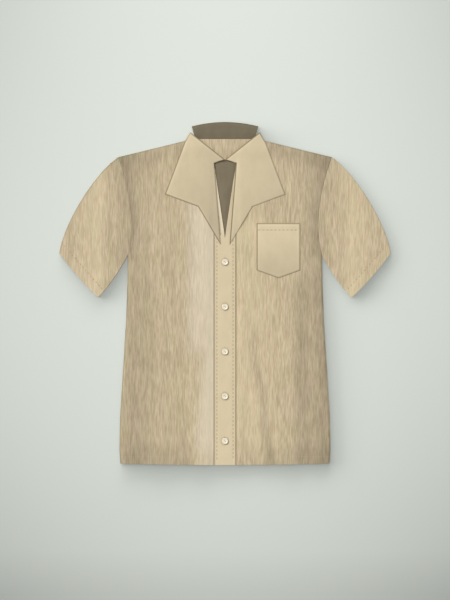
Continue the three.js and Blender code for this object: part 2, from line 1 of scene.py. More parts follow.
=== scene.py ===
# %% [markdown]
# # A camp shirt, laid flat
# The shirt lies on its back with the front up, the way a shirt is laid out on a table to be measured.
# Its solids already hold the true outline and the stack of layers. This lesson gives each solid its
# cloth: a thin shell with soft folds, pressed edges, stitches and a woven finish.

# %% Load the fixed frame
import math

import bmesh
import bpy
import numpy as np
from mathutils import Matrix, Vector


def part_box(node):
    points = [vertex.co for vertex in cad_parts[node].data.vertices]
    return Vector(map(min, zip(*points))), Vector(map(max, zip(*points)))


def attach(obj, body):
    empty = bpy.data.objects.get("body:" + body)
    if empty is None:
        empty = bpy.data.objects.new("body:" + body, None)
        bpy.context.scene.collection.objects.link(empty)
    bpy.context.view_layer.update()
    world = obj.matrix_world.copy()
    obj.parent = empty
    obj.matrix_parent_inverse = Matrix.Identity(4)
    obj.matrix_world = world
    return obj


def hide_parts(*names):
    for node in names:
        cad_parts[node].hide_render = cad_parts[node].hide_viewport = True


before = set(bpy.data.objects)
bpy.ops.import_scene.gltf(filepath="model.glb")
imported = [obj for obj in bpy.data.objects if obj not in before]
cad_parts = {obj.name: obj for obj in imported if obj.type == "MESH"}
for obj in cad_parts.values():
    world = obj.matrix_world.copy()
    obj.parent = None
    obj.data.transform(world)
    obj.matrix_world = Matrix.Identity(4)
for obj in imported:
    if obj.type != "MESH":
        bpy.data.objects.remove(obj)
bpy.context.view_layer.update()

scene = bpy.context.scene
print("nodes:", ", ".join(sorted(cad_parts)))

# %% [markdown]
# ## Camera
# A laid-out garment is seen from straight above, with its neck at the top. A long lens high over the
# floor keeps the sleeves from leaning outwards. The lens follows from how much floor the view takes in.

# %% Camera straight above
VIEW_HEIGHT = 1.350  # metres of floor from the bottom of the view to its top
VIEW_CENTRE_Y = -0.0155
CAMERA_UP = 4.0
SENSOR = 36.0  # millimetres


def as_object(name, data):
    obj = bpy.data.objects.new(name, data)
    scene.collection.objects.link(obj)
    return obj


def mesh_object(name, bm, materials=()):
    mesh = bpy.data.meshes.new(name)
    bm.to_mesh(mesh)
    bm.free()
    for material in materials:
        mesh.materials.append(material)
    return as_object(name, mesh)


camera_data = bpy.data.cameras.new("camera")
camera_data.sensor_width = SENSOR
camera_data.lens = SENSOR * CAMERA_UP / VIEW_HEIGHT
camera_data.clip_start, camera_data.clip_end = 0.01, 50.0
scene.camera = as_object("camera", camera_data)
scene.camera.location = (0.0, VIEW_CENTRE_Y, CAMERA_UP)
print(f"lens {camera_data.lens:.1f} mm")

# %% [markdown]
# ## Sizes
# Cloth is measured in millimetres, so every piece is shaped in millimetres and scaled to metres when
# it is finished. The layers are the same as in the solids: each takes one wall and a little air.

# %% Sizes of the layers and corners of the pattern
MM = 0.001
WALL = 1.0
LAYER = WALL + 0.3
CLOTH = 0.6  # a single thickness of the cloth
HEM_CLOTH = 0.95  # the cloth where it is folded double
BAND_CLOTH = 0.9  # the bands, the pocket and the collar's stand, each folded double and pressed
UNDERSIDE = 0.12  # how far over the table the lowest cloth lies
SEAM_Z = 1.15  # height at which the front and the back meet along a seam

BAND_HALF = 24.3
ARMPIT = (218.8, 84.0)
SHOULDER_TIP = (240.5, 305.6)
NECK_POINT = (73.5, 346.3)
HEM_CORNER = (235.4, -383.3)
BAND_FOOT_Y = -387
SLEEVE_TOP_CORNER = (372.8, 90.5)
SLEEVE_UNDER_CORNER = (284.8, -10.2)
SLEEVE_HEM = 19.0  # depth of the sleeve's turned hem


def ramp(start, end, value):
    """Rises smoothly from 0 at start to 1 at end, which may lie either way."""
    t = np.clip((np.asarray(value, float) - start) / (end - start), 0, 1)
    return t * t * (3 - 2 * t)


def mixed(a, b, share):
    return a + (b - a) * share


def level(height):
    """A height or a tone that is the same everywhere."""
    return lambda x, y: np.full(np.shape(x), height)


def to_path(x, y, path):
    """Distance of each point from a line through the points of a path."""
    best = np.full(np.shape(x), np.inf)
    for (ax, ay), (bx, by) in zip(path, path[1:]):
        dx, dy = bx - ax, by - ay
        t = np.clip(((x - ax) * dx + (y - ay) * dy) / max(dx * dx + dy * dy, 1e-9), 0, 1)
        best = np.minimum(best, np.hypot(x - ax - t * dx, y - ay - t * dy))
    return best


def mirrored(points):
    return [(-x, y) for x, y in points]


def both_sides(points):
    """The left piece as cut and the right one mirrored, each with what its other lines go through."""
    return ("left", points, list), ("right", mirrored(points), mirrored)


# %% [markdown]
# ## Reading a pattern piece from its solid
# A cutter lays the pattern on the cloth and follows its outline. Here the pattern is the solid itself:
# seen from above, the edge of its upper side is the outline of the piece. A copy of the solid is
# merged first, because a loaded node is made of loose triangles.

# %% Outline of a solid
def corner_turn(points, i):
    """How far an outline turns at one of its points, in radians."""
    before, here, after = (Vector(points[(i + k) % len(points)]) for k in (-1, 0, 1))
    return abs((here - before).angle_signed(after - here))


def without_slivers(points, shortest=1.2):
    """Drops the weaker end of every very short edge, which an inset couldn't follow."""
    kept, i = list(points), 0
    while i < len(kept):
        after = (i + 1) % len(kept)
        if math.dist(kept[i], kept[after]) < shortest:
            kept.pop(min(i, after, key=lambda k: corner_turn(kept, k)))
        else:
            i += 1
    return kept


def outline(node, lowest=-1.0):
    """The longest edge loop round the upper faces of a node, as plan points."""
    bm = bmesh.new()
    bm.from_mesh(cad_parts[node].data)
    bmesh.ops.scale(bm, vec=(1 / MM, 1 / MM, 1 / MM), verts=bm.verts)
    bmesh.ops.remove_doubles(bm, verts=bm.verts, dist=0.002)
    bm.normal_update()
    upper = {f for f in bm.faces if f.normal.z > 0.3 and f.calc_center_median().z > lowest}
    left = dict.fromkeys(e for e in bm.edges if sum(f in upper for f in e.link_faces) == 1)
    loops = []
    while left:
        edge = left.popitem()[0]
        loop, here = [edge.verts[0]], edge.verts[1]
        while here is not loop[0]:
            loop.append(here)
            edge = next(e for e in here.link_edges if e in left)
            del left[edge]
            here = edge.other_vert(here)
        loops.append([(v.co.x, v.co.y) for v in loop])
    bm.free()
    return without_slivers(max(loops, key=lambda loop: np.ptp([p[1] for p in loop])))


def box_mm(node):
    """The lowest and the highest corner of a node."""
    return (Vector(corner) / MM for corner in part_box(node))


def stretch(points, start, end, through):
    """The part of an outline from one corner to another that passes nearest a third point."""
    a, b = (min(range(len(points)), key=lambda i: math.dist(points[i], p)) for p in (start, end))
    ring = points + points
    parts = [ring[i:(j if j > i else j + len(points)) + 1] for i, j in ((a, b), (b, a))]
    return min(parts, key=lambda part: min(math.dist(p, through) for p in part))


front_outline = outline("front_left")
sleeve_outline = outline("sleeve_left", lowest=SEAM_Z)
side_seam = stretch(front_outline, HEM_CORNER, ARMPIT, (239, -300))
armhole = stretch(front_outline, ARMPIT, SHOULDER_TIP, (210, 190))
sleeve_fold = stretch(sleeve_outline, SHOULDER_TIP, SLEEVE_TOP_CORNER, (330, 215))
underarm = stretch(sleeve_outline, ARMPIT, SLEEVE_UNDER_CORNER, (250, 36))
sleeve_hem = stretch(sleeve_outline, SLEEVE_TOP_CORNER, SLEEVE_UNDER_CORNER, (332, 38))
shoulder = [SHOULDER_TIP, NECK_POINT]
print("outline of the front:", len(front_outline), "points; armhole:", len(armhole), "points")

# %% [markdown]
# ## Folds of the upper layer
# A laid shirt isn't flat: the upper layer stands in long soft folds that run down the body. Each fold
# is one row of a table. Its two flanks have their own widths, because the cloth leans to one side, and
# a fold ends by sinking back into the flat cloth. All the upper pieces read the same height, so a fold
# passes over a seam without a step.

# %% Heights of the layers
FOLDS = [
    # name, top of the crest, foot of the crest, width of the flank on the -X and on the +X side, height
    ("beside_band", (-44, 205), (-46, -460), (50, 18), 1.5),
    ("mid_right", (-152, 150), (-158, -460), (20, 58), 1.5),
    ("side_right", (-216, 60), (-226, -460), (16, 44), 1.3),
    ("beside_pocket", (49, -60), (110, -470), (30, 17), 1.5),
    ("mid_left", (146, 60), (152, -460), (54, 30), 2.0),
    ("side_left", (200, 90), (206, -460), (16, 34), 1.3),
    ("sleeve_right", (-268, 262), (-276, -60), (30, 26), 1.3),
    ("sleeve_left", (318, 262), (306, -60), (32, 26), 1.3),
]
FOLD_END = 60  # length over which a fold rises from the flat cloth
PUFF = 0.7  # how far the upper layer stands off everywhere but at its edges
EDGE_FADE = 24
folded_edges = [side_seam, shoulder, sleeve_fold, underarm]


def fold_height(x, y, folds):
    """Height of a table of folds, each a crest with a cosine flank on both sides."""
    total = 0
    for _, (x0, y0), (x1, y1), flanks, height in folds:
        dx, dy = x1 - x0, y1 - y0
        length = math.hypot(dx, dy)
        along = ((x - x0) * dx + (y - y0) * dy) / length
        across = ((x - x0) * -dy + (y - y0) * dx) / length
        profile = 0.5 + 0.5 * np.cos(np.pi * np.clip(across / np.where(across < 0, *flanks), -1, 1))
        total = total + height * profile * ramp(0, FOLD_END, along)
    return total


def lift(x, y):
    """How high the upper layer stands over its lowest place."""
    to_edge = np.min([to_path(abs(x), y, path) for path in folded_edges], axis=0)
    beside_band = np.where(x < 0, 12, 16)
    fade = ramp(0, EDGE_FADE, to_edge) * ramp(0, 1, (abs(x) - BAND_HALF) / beside_band)
    return fade * (PUFF + fold_height(x, y, FOLDS))


def over_fall(x, y):
    """The neck of the back lies over the collar's fall."""
    return LAYER * ramp(300, 332, y) * ramp(125, 100, abs(x))


def slack(x, y):
    return 0.5 * ramp(290, 320, y) * ramp(148, 114, abs(x))


def lap(x, y):
    """The left front rises beside its band, which lies over the right one."""
    return LAYER * ramp(64, 27, x) * ramp(212, 148, y)


def upper_z(x, y):
    """Upper side of the fronts and of the sleeves' top layer."""
    return LAYER + WALL + over_fall(x, y) + slack(x, y) + lift(x, y) + lap(x, y)


# %% [markdown]
# ## Painted light and shade of the drape
# Soft folds this low barely catch the light, so their light and shade is painted into the cloth's colour:
# a painted highlight where the cloth bulges and painted shade where it sinks towards a seam. A second table
# gives each such zone its sides, the softness of each side, its slant and its share: painted light above 0,
# painted shade below 0.

# %% Shares of painted light and shade
PAINTED_DRAPE = [
    # name, left and right side, softness of each side, top and bottom, slant, painted lighter or darker
    # share
    ("right_side", (-270, -156), (2, 14), (60, -420), 0, -0.068),
    ("right_seam", (-270, -205), (2, 20), (330, -420), 0, -0.020),
    ("right_chest", (-270, -186), (2, 70), (340, 60), 0, -0.070),
    ("right_ribs", (-148, -114), (14, 34), (260, -420), 0, -0.010),
    ("right_front", (-74, 0), (48, 2), (215, -130), 0, 0.110),
    ("right_edge", (-42, 0), (14, 2), (190, -430), 0, 0.035),
    ("right_skirt", (-47, 0), (32, 2), (-130, -430), 8, 0.118),
    ("right_dip", (-96, -80), (10, 10), (-250, -430), 4, -0.030),
    ("left_front", (0, 92), (2, 80), (170, -420), 0, 0.058),
    ("left_side", (160, 270), (24, 2), (40, -420), 0, -0.103),
    ("left_chest", (182, 270), (60, 2), (340, 40), 0, -0.095),
    ("left_seam", (214, 270), (14, 2), (100, -420), 0, -0.040),
    ("left_streak", (43, 68), (22, 14), (-75, -430), -15, -0.050),
    ("left_leaf", (20, 86), (10, 20), (230, 120), 0, 0.030),
    ("left_glint", (188, 201), (8, 8), (40, -420), 0, 0.004),
]
ARMPIT_SHADE = (-212, 150, 34)  # centre and reach


def painted_drape_shading(x, y):
    """The painted light and shade of all zones together."""
    total = 0
    for _, (left, right), (soft_left, soft_right), (top, bottom), slant, share in PAINTED_DRAPE:
        leaned = x + slant * (top - y) / 100
        across = ramp(left - soft_left / 2, left + soft_left / 2, leaned)
        across = across * ramp(right + soft_right / 2, right - soft_right / 2, leaned)
        total = total + share * (across * ramp(top + 30, top - 30, y) * ramp(bottom - 30, bottom + 30, y))
    return total


# Painted shade along the armhole seam, in the armpit, along the shoulders and towards the hem, with the
# drape's painted light and shade
def front_tone(x, y):
    to_seam = to_path(abs(x), y, armhole)
    seam = np.where(x < 0, -0.065 * ramp(24, 2, to_seam), -0.055 * ramp(28, 0, to_seam))
    centre_x, centre_y, reach = ARMPIT_SHADE
    deep = -0.03 * ramp(reach, 0, np.hypot(x - centre_x, (y - centre_y) * 0.6))
    yoke = -0.07 * ramp(46, 14, to_path(abs(x), y, shoulder))
    hem = -0.06 * ramp(-322, -376, y)
    return seam + deep + yoke + hem + painted_drape_shading(x, y)


# Painted shade along the armhole seam, and painted highlights on the sleeve's crown, along its ridge and
# over its hem
def sleeve_tone(x, y):
    to_seam = to_path(abs(x), y, armhole)
    seam = np.where(x < 0, -0.085 * ramp(44, 0, to_seam), -0.03 * ramp(34, 0, to_seam))
    crown = 0.038 * ramp(256, 278, abs(x)) * ramp(350, 300, abs(x))
    ridge = 0.024 * ramp(15, 0, abs(abs(x) - 284))
    hem = 0.028 * ramp(SLEEVE_HEM + 4, SLEEVE_HEM - 4, to_path(abs(x), y, sleeve_hem))
    return seam + crown + ridge + hem


print(f"highest fold: {float(np.max(upper_z(np.linspace(-230, 230, 400), np.full(400, -200.0)))):.2f} mm")

# %% [markdown]
# ## Cutting and closing a piece
# `cut_cloth` starts from one flat face with the pattern's outline. Insets follow its edge, to round it,
# and two sets of parallel cuts slice the rest into small squares, as fine as the folds need.
# `close_shell` raises the piece to its upper side, and a turned copy becomes the lower side. Both meet
# along the rounded edge, so every piece is one closed shell. Each point keeps two values for its finish:
# how dark the painted shade beside an edge is there, with a painted highlight just inside it, and how
# much painted shade or painted light the cloth carries there.

# %% Helpers that cut a piece
ON_EDGE = 0.005  # a point this near an outline is on it
EDGE_RINGS = (0.08, 0.30, 0.8, 1.6, 2.6)
# rings near an edge that hold its painted shade line and painted highlight
EDGE_LINE_RINGS = (0.08, 0.25, 0.6, 1.1, 1.9, 2.7, 4.0, 5.8, 7.6)


def everything(bm):
    return bm.verts[:] + bm.edges[:] + bm.faces[:]


def flat_face(points):
    """One flat face with an outline, without the points along its straight sides."""
    bm = bmesh.new()
    bm.faces.new([bm.verts.new((x, y, 0)) for x, y in points])
    bmesh.ops.dissolve_limit(bm, angle_limit=math.radians(0.2), verts=bm.verts, edges=bm.edges)
    bm.normal_update()
    bm.faces.ensure_lookup_table()
    return bm, bm.faces[0]


def inset(bm, face, distance):
    bmesh.ops.inset_region(bm, faces=[face], thickness=distance, use_boundary=True, use_even_offset=True)


def cut_cloth(points, step, rings=EDGE_RINGS, holes=()):
    """A flat piece of cloth: a face with the outline, inset along its edge and sliced into squares."""
    bm, face = flat_face(points)
    if face.normal.z < 0:
        face.normal_flip()
    edge = [(v.co.x, v.co.y) for v in face.verts]
    reached = 0.0
    for ring in rings:
        inset(bm, face, ring - reached)
        reached = ring
    lines = []
    for axis in (0, 1):
        low, high = (pick(p[axis] for p in points) for pick in (min, max))
        count = max(1, round((high - low) / step[axis]))
        lines += [(axis, low + (high - low) * i / count) for i in range(1, count)]
    for x0, y0, x1, y1 in holes:
        lines += [(0, x0), (0, x1), (1, y0), (1, y1)]
    for axis, at in lines:
        place, normal = Vector(), Vector()
        place[axis], normal[axis] = at, 1
        bmesh.ops.bisect_plane(bm, geom=everything(bm), dist=0.01, plane_co=place, plane_no=normal)
    edges = [edge + edge[:1]]
    for x0, y0, x1, y1 in holes:
        middle = [f.calc_center_median() for f in bm.faces]
        inside = [f for f, c in zip(bm.faces, middle) if x0 < c.x < x1 and y0 < c.y < y1]
        bmesh.ops.delete(bm, geom=inside, context="FACES")
        edges.append([(x0, y0), (x1, y0), (x1, y1), (x0, y1), (x0, y0)])
    return bm, edges


# %% Helpers that close it
def plan(bm):
    co = np.array([v.co[:2] for v in bm.verts], float)
    return co[:, 0], co[:, 1]


def rounding(to_edge, radius):
    """How far a rounded edge has opened, from 0 on the edge to 1 a radius inside it."""
    return np.sqrt(1 - (1 - np.clip((to_edge - ON_EDGE) / radius, 0, 1)) ** 2)


def pressed_line(x, y, pressed):
    """Painted shade beside the edges, as 1 on the edge, with a painted highlight crest inside it, as less
    than 0.
    """
    dark, crest = np.zeros(np.shape(x)), np.zeros(np.shape(x))
    for path, strength in pressed:
        away = to_path(x, y, path)
        dark = np.maximum(dark, strength * ramp(3.1, 1.1, away))
        crest = np.maximum(crest, strength * ramp(2.4, 3.6, away) * ramp(7.5, 4.4, away))
    return np.where(dark > 0.02, dark, -crest)


def mark(bm, **values):
    """Stores a value for each vertex under a name, for the materials or for a later step."""
    for name, numbers in values.items():
        layer = bm.verts.layers.float.new(name)
        for v, number in zip(bm.verts, numbers):
            v[layer] = number


def unmark(bm, name):
    bm.verts.layers.float.remove(bm.verts.layers.float[name])


def two_sides(bm, high, low):
    """Raises a flat piece to its upper side and adds its turned copy as the lower side."""
    mark(bm, under=low)
    for v, z in zip(bm.verts, high):
        v.co.z = z
    copy = bmesh.ops.duplicate(bm, geom=everything(bm))["geom"]
    under = bm.verts.layers.float["under"]
    for v in copy:
        if isinstance(v, bmesh.types.BMVert):
            v.co.z = v[under]
    turned = [f for f in copy if isinstance(f, bmesh.types.BMFace)]
    bmesh.ops.reverse_faces(bm, faces=turned)
    return turned


def close_shell(bm, cut, upper, lower, pressed, tone):
    """Gives a flat piece its upper and lower side, which meet in a rounded edge."""
    x, y = plan(bm)
    high, low = upper(x, y), lower(x, y)
    middle, half = (high + low) / 2, (high - low) / 2
    rounded = half * rounding(np.min([to_path(x, y, edge) for edge in cut], axis=0), half)
    mark(bm, press=pressed_line(x, y, pressed), tone=tone(x, y))
    for f in two_sides(bm, middle + rounded, middle - rounded):
        f.material_index = 1
    bmesh.ops.remove_doubles(bm, verts=[v for v in bm.verts if v.is_boundary], dist=2 * ON_EDGE)
    unmark(bm, "under")


# %% Helpers that finish a piece
def finish_piece(bm, name, finish, replaces=()):
    """Scales a shaped piece to metres and makes it an object on the shirt's body."""
    slot, *materials = finish
    bmesh.ops.scale(bm, vec=(MM, MM, MM), verts=bm.verts)
    open_edges = sum(e.is_boundary for e in bm.edges)
    obj = mesh_object(name, bm, materials)
    obj.data.polygons.foreach_set("use_smooth", [True] * len(obj.data.polygons))
    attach(obj, "root")
    if replaces:
        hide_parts(*replaces)
    size = " x ".join(str(round(d / MM)) for d in obj.dimensions)
    print(f"{name}: {len(obj.data.polygons)} faces, {open_edges} open edges, {size} mm")
    return obj


def make_piece(node, finish, points, step, upper, lower, rings=EDGE_RINGS, holes=(),
               pressed=(), tone=level(0), name=None):
    """Cuts, closes and finishes the cloth that stands for a solid."""
    bm, cut = cut_cloth(points, step, rings, holes)
    close_shell(bm, cut, upper, lower, pressed, tone)
    return finish_piece(bm, name or f"{node}_cloth", finish, [node])


# %% [markdown]
# ## Finishes
# The body is a slubbed cloth: its yarns swell and thin along their length, which draws short upright
# streaks in many close tones. The collar, bands and pocket are cut from a plain cloth of the same
# colour, and the inside is painted dark as shade. The weave, the streaks and the painted shade and
# highlight along the edges and over the drape are node groups, made once and placed in each material with
# its own values. They read Object coordinates, because a laid panel's yarns run straight up the shirt.

# %% Node helpers
def srgb(r, g, b):
    """A colour given as it looks, turned into the linear values that a shader takes."""
    linear = [(c / 255 / 12.92) if c <= 10 else ((c / 255 + 0.055) / 1.055) ** 2.4 for c in (r, g, b)]
    return (*linear, 1.0)


WHITE = srgb(255, 255, 255)


class Graph:
    """A short way to add nodes to a tree and link them."""

    def __init__(self, tree):
        self.tree = tree

    def add(self, kind, inputs=(), **settings):
        """A new node's outputs. Its inputs, by name or by number, take a value or another output."""
        node = self.tree.nodes.new("ShaderNode" + kind)
        for key, value in settings.items():
            setattr(node, key, value)
        for key, value in dict(inputs).items():
            self.feed(node.inputs[key], value)
        return node.outputs

    def feed(self, socket, value):
        if isinstance(value, bpy.types.NodeSocket):
            self.tree.links.new(value, socket)
        else:
            socket.default_value = value

    def math(self, operation, *values):
        return self.add("Math", enumerate(values), operation=operation)[0]

    def times(self, a, b):
        return self.math("MULTIPLY", a, b)

    def span(self, value, low, high):
        """Maps low..high to 0..1 with soft ends."""
        return self.add("MapRange", enumerate((value, low, high)), interpolation_type="SMOOTHSTEP")[0]

    def mix(self, factor, a, b, blend="MIX"):
        return self.add("Mix", {0: factor, 6: a, 7: b}, data_type="RGBA", blend_type=blend)[2]

    def tinted(self, a, b):
        return self.mix(1.0, a, b, "MULTIPLY")

    def parts(self, vector):
        return self.add("SeparateXYZ", {0: vector})

    def noise(self, vector, detail=1.0):
        return self.add("TexNoise", {"Vector": vector, "Scale": 1.0, "Detail": detail})["Fac"]

    def clouds(self, vector, width, length, detail=1.0):
        """A noise whose patches have that width and length, in metres."""
        scale = (1 / width, 1 / length, 1 / width)
        return self.noise(self.add("Mapping", {"Vector": vector, "Scale": scale})[0], detail)


def new_group(name, inputs, outputs):
    """An empty group with its named inputs and their values, None for a vector, and its outputs."""
    tree = bpy.data.node_groups.new(name, "ShaderNodeTree")
    for socket, value in inputs.items():
        kind = "NodeSocketVector" if value is None else "NodeSocketFloat"
        made = tree.interface.new_socket(socket, in_out="INPUT", socket_type=kind)
        if value is not None:
            made.default_value = value
    for socket in outputs:
        tree.interface.new_socket(socket, in_out="OUTPUT", socket_type="NodeSocketFloat")
    return Graph(tree), tree.nodes.new("NodeGroupInput").outputs, tree.nodes.new("NodeGroupOutput").inputs


# %% The weave: yarns that pass over and under each other
def make_weave():
    graph, given, out = new_group("weave", {"Vector": None, "Pitch": 0.0006}, ("Height", "Gap"))
    parts = graph.parts(given["Vector"])
    x, y = (graph.math("DIVIDE", parts[axis], given["Pitch"]) for axis in (0, 1))
    warp, weft = (graph.math("ABSOLUTE", graph.math("SINE", graph.times(at, math.pi))) for at in (x, y))
    cell = graph.math("ADD", graph.math("FLOOR", x), graph.math("FLOOR", y))
    over = graph.math("PINGPONG", cell, 1.0)
    warp_up = graph.times(warp, graph.math("MULTIPLY_ADD", over, 0.5, 0.5))
    weft_up = graph.times(weft, graph.math("MULTIPLY_ADD", over, -0.5, 1.0))
    graph.feed(out["Height"], graph.math("MAXIMUM", warp_up, weft_up))
    graph.feed(out["Gap"], graph.math("SUBTRACT", 1.0, graph.math("MAXIMUM", warp, weft)))
    return graph.tree


# %% The slubs: streaks of thick and thin yarn
YARNS = [
    # width and length of a streak in metres, place in the noise, share
    (0.0014, 0.024, 0.4, 0.58),
    (0.0033, 0.026, 9.6, 0.23),
]
STRAND = (0.0060, 0.034, 0.19)  # width, length and share
BESIDE = 7.37  # how far apart in the noise two yarns that lie side by side are


def make_slubs():
    graph, given, out = new_group("slubs", {"Vector": None}, ("Streak", "Warmth", "Patch"))
    vector = given["Vector"]
    place = graph.parts(vector)
    streak = graph.times(graph.clouds(vector, *STRAND[:2]), STRAND[2])
    for width, length, height, share in reversed(YARNS):
        # each upright yarn has a noise of its own along it, so its sides are straight
        number = graph.math("FLOOR", graph.math("DIVIDE", place[0], width))
        own = (graph.times(number, BESIDE), graph.math("DIVIDE", place[1], length), height)
        yarn = graph.noise(graph.add("CombineXYZ", enumerate(own))[0])
        streak = graph.math("MULTIPLY_ADD", yarn, share, streak)
    graph.feed(out["Streak"], graph.span(streak, 0.29, 0.71))
    graph.feed(out["Warmth"], graph.span(graph.clouds(vector, 0.0110, 0.060), 0.35, 0.65))
    graph.feed(out["Patch"], graph.span(graph.clouds(vector, 0.030, 0.090), 0.30, 0.70))
    return graph.tree


# %% The painted shade and highlight along edges and the drape's painted light and shade, as three masks and a factor
def make_painted_light():
    graph, given, out = new_group(
        "painted_light", {"Edge": 1.0, "Crest": 0.6}, ("Edge", "Crest", "Pale", "Tone")
    )
    press, tone = (graph.add("Attribute", attribute_name=name)["Fac"] for name in ("press", "tone"))
    # Edge is the painted edge shade, Crest its painted highlight, Pale the drape's painted highlight and
    # Tone the drape's painted shade as a factor
    crest = graph.math("MAXIMUM", graph.times(press, -1.0), 0.0)
    deep = graph.math("ADD", graph.math("MINIMUM", tone, 0.0), 1.0)
    graph.feed(out["Edge"], graph.times(graph.math("MAXIMUM", press, 0.0), given["Edge"]))
    graph.feed(out["Crest"], graph.times(crest, given["Crest"]))
    graph.feed(out["Pale"], graph.times(graph.math("MAXIMUM", tone, 0.0), 4.0))
    graph.feed(out["Tone"], graph.math("POWER", deep, 2.2))
    return graph.tree


WEAVE, SLUBS, PAINTED_LIGHT = make_weave(), make_slubs(), make_painted_light()
print("node groups:", ", ".join(g.name for g in bpy.data.node_groups))


# %% [markdown]
# ## Cloth materials
# Each cloth has a matt base with a little sheen, a bump from the weave and a colour that varies as the
# yarns do, painted darker in the gaps between the yarns as shade. The slubbed cloth adds the streaks, which
# also thicken the yarn. Painted shade darkens the cloth beside its edges, with a painted highlight inside
# it.

# %% Cloth materials
def new_material(name, **values):
    """A material with its shader's values set, the shader's inputs and the Object coordinates."""
    material = bpy.data.materials.new(name)
    material.use_nodes = True
    graph = Graph(material.node_tree)
    shader = material.node_tree.nodes["Principled BSDF"].inputs
    for key, value in values.items():
        shader[key.replace("_", " ")].default_value = value
    return material, graph, shader, graph.add("TexCoord")["Object"]


def new_cloth(name, pitch, sheen):
    material, graph, shader, where = new_material(
        name, Roughness=0.92, Specular_IOR_Level=0.25, Sheen_Weight=sheen, Sheen_Roughness=0.6
    )
    weave = graph.add("Group", {"Vector": where, "Pitch": pitch}, node_tree=WEAVE)
    return material, graph, shader, where, weave


def add_bump(graph, shader, height, distance):
    graph.feed(shader["Normal"], graph.add("Bump", {"Height": height, "Distance": distance})[0])


def add_painted_light(graph, colour, dark, light, pale):
    """Puts the painted shade beside the edges, its painted highlight crest and the drape's painted light
    and shade over a colour.
    """
    marks = graph.add("Group", {"Edge": 1.0, "Crest": 0.35}, node_tree=PAINTED_LIGHT)
    for mask, over in (("Pale", pale), ("Edge", dark), ("Crest", light)):
        colour = graph.mix(marks[mask], colour, over)
    return graph.tinted(colour, marks["Tone"])


# what a zone's painted highlight pales to: start and end of the change in metres across, new colour
HIGHLIGHT_PALE = srgb(233, 226, 215)
HIGHLIGHT_PALE_ACROSS = [
    (-0.090, -0.045, srgb(238, 225, 198)),
    (-0.01, 0.01, srgb(240, 222, 178)),
    (-0.17, -0.21, srgb(240, 222, 184)),
]


def slub_material():
    material, graph, shader, where, weave = new_cloth("slub_cloth", 0.00055, 0.12)
    slubs = graph.add("Group", {"Vector": where}, node_tree=SLUBS)
    colour = graph.mix(slubs["Streak"], srgb(184, 166, 135), srgb(221, 204, 173))
    colour = graph.tinted(colour, graph.mix(slubs["Warmth"], srgb(252, 253, 246), srgb(255, 251, 249)))
    colour = graph.tinted(colour, graph.mix(slubs["Patch"], srgb(248, 248, 248), WHITE))
    # The gaps between the yarns are painted darker, as shade in the weave's hollows.
    colour = graph.mix(graph.times(weave["Gap"], 0.20), colour, srgb(150, 134, 104))
    # the drape's painted highlight pales towards these colours across the shirt
    across, pale = graph.parts(where)[0], HIGHLIGHT_PALE
    for start, end, highlight_colour in HIGHLIGHT_PALE_ACROSS:
        pale = graph.mix(graph.span(across, start, end), pale, highlight_colour)
    # colours of the painted edge shade, its painted highlight and the drape's painted highlight
    colour = add_painted_light(graph, colour, srgb(128, 112, 84), srgb(226, 211, 180), pale)
    graph.feed(shader["Base Color"], colour)
    height = graph.math("MULTIPLY_ADD", slubs["Streak"], 1.2, weave["Height"])
    add_bump(graph, shader, height, 0.00008)
    return material


def plain_material(name, base, deep, dark, light):
    material, graph, shader, where, weave = new_cloth(name, 0.00045, 0.15)
    soft = graph.span(graph.clouds(where, 0.016, 0.028, detail=2.0), 0.3, 0.7)
    # The gaps between the yarns are painted darker, as shade in the weave's hollows.
    colour = graph.mix(graph.times(weave["Gap"], 0.12), graph.mix(soft, base, deep), dark)
    graph.feed(shader["Base Color"], add_painted_light(graph, colour, dark, light, light))
    add_bump(graph, shader, weave["Height"], 0.00006)
    return material


slub_cloth = slub_material()
plain_cloth = plain_material(
    "plain_cloth", srgb(221, 204, 169), srgb(217, 200, 165), srgb(140, 121, 90), srgb(236, 221, 189)
)
# The inside's dark colour is painted shade: the inside of the shirt is painted as dark as it lies in shade
# inside the neck, the collar and the sleeves.
inner_cloth = plain_material(
    "inner_cloth", srgb(128, 117, 94), srgb(123, 112, 90), srgb(84, 76, 58), srgb(132, 122, 102)
)
# the slot of each finish in the record, the material above and the one below
BODY = ("slub_cloth", slub_cloth, inner_cloth)
BODY_TURNED = ("slub_cloth", inner_cloth, slub_cloth)
FACING = ("slub_cloth", slub_cloth, slub_cloth)
PLAIN = ("plain_cloth", plain_cloth, plain_cloth)
STAND = ("inner_cloth", inner_cloth, plain_cloth)

# %% [markdown]
# ## Stitches
# A row of stitches is thread that dips in and out of the cloth, so what shows is a row of small beads,
# each drawn out along the row. The long stitches that hold the bands, the pocket's mouth and the
# sleeve hems are darker than the cloth. The fine ones at the body's hem match it and hardly show.

# %% Rows of stitches
def thread_material(name, base, deep):
    material, graph, shader, where = new_material(
        name, Roughness=0.7, Specular_IOR_Level=0.3, Sheen_Weight=0.2
    )
    ply = graph.clouds(where, 0.0004, 0.0004)
    graph.feed(shader["Base Color"], graph.mix(graph.span(ply, 0.35, 0.65), deep, base))
    add_bump(graph, shader, ply, 0.00008)
    return material


dark_thread = thread_material("dark_thread", srgb(172, 152, 115), srgb(150, 131, 96))
mouth_thread = thread_material("mouth_thread", srgb(188, 170, 134), srgb(170, 151, 116))
button_cotton = thread_material("button_cotton", srgb(236, 226, 200), srgb(220, 209, 182))
pale_thread = thread_material("pale_thread", srgb(212, 195, 160), srgb(192, 175, 140))
# from one stitch to the next, then the length, the width and the thickness of its bead
LONG_STITCH = (9.0, 6.7, 1.8, 0.8)
SLEEVE_STITCH = (9.0, 4.6, 1.6, 0.8)
FINE_STITCH = (4.0, 3.0, 0.6, 0.5)


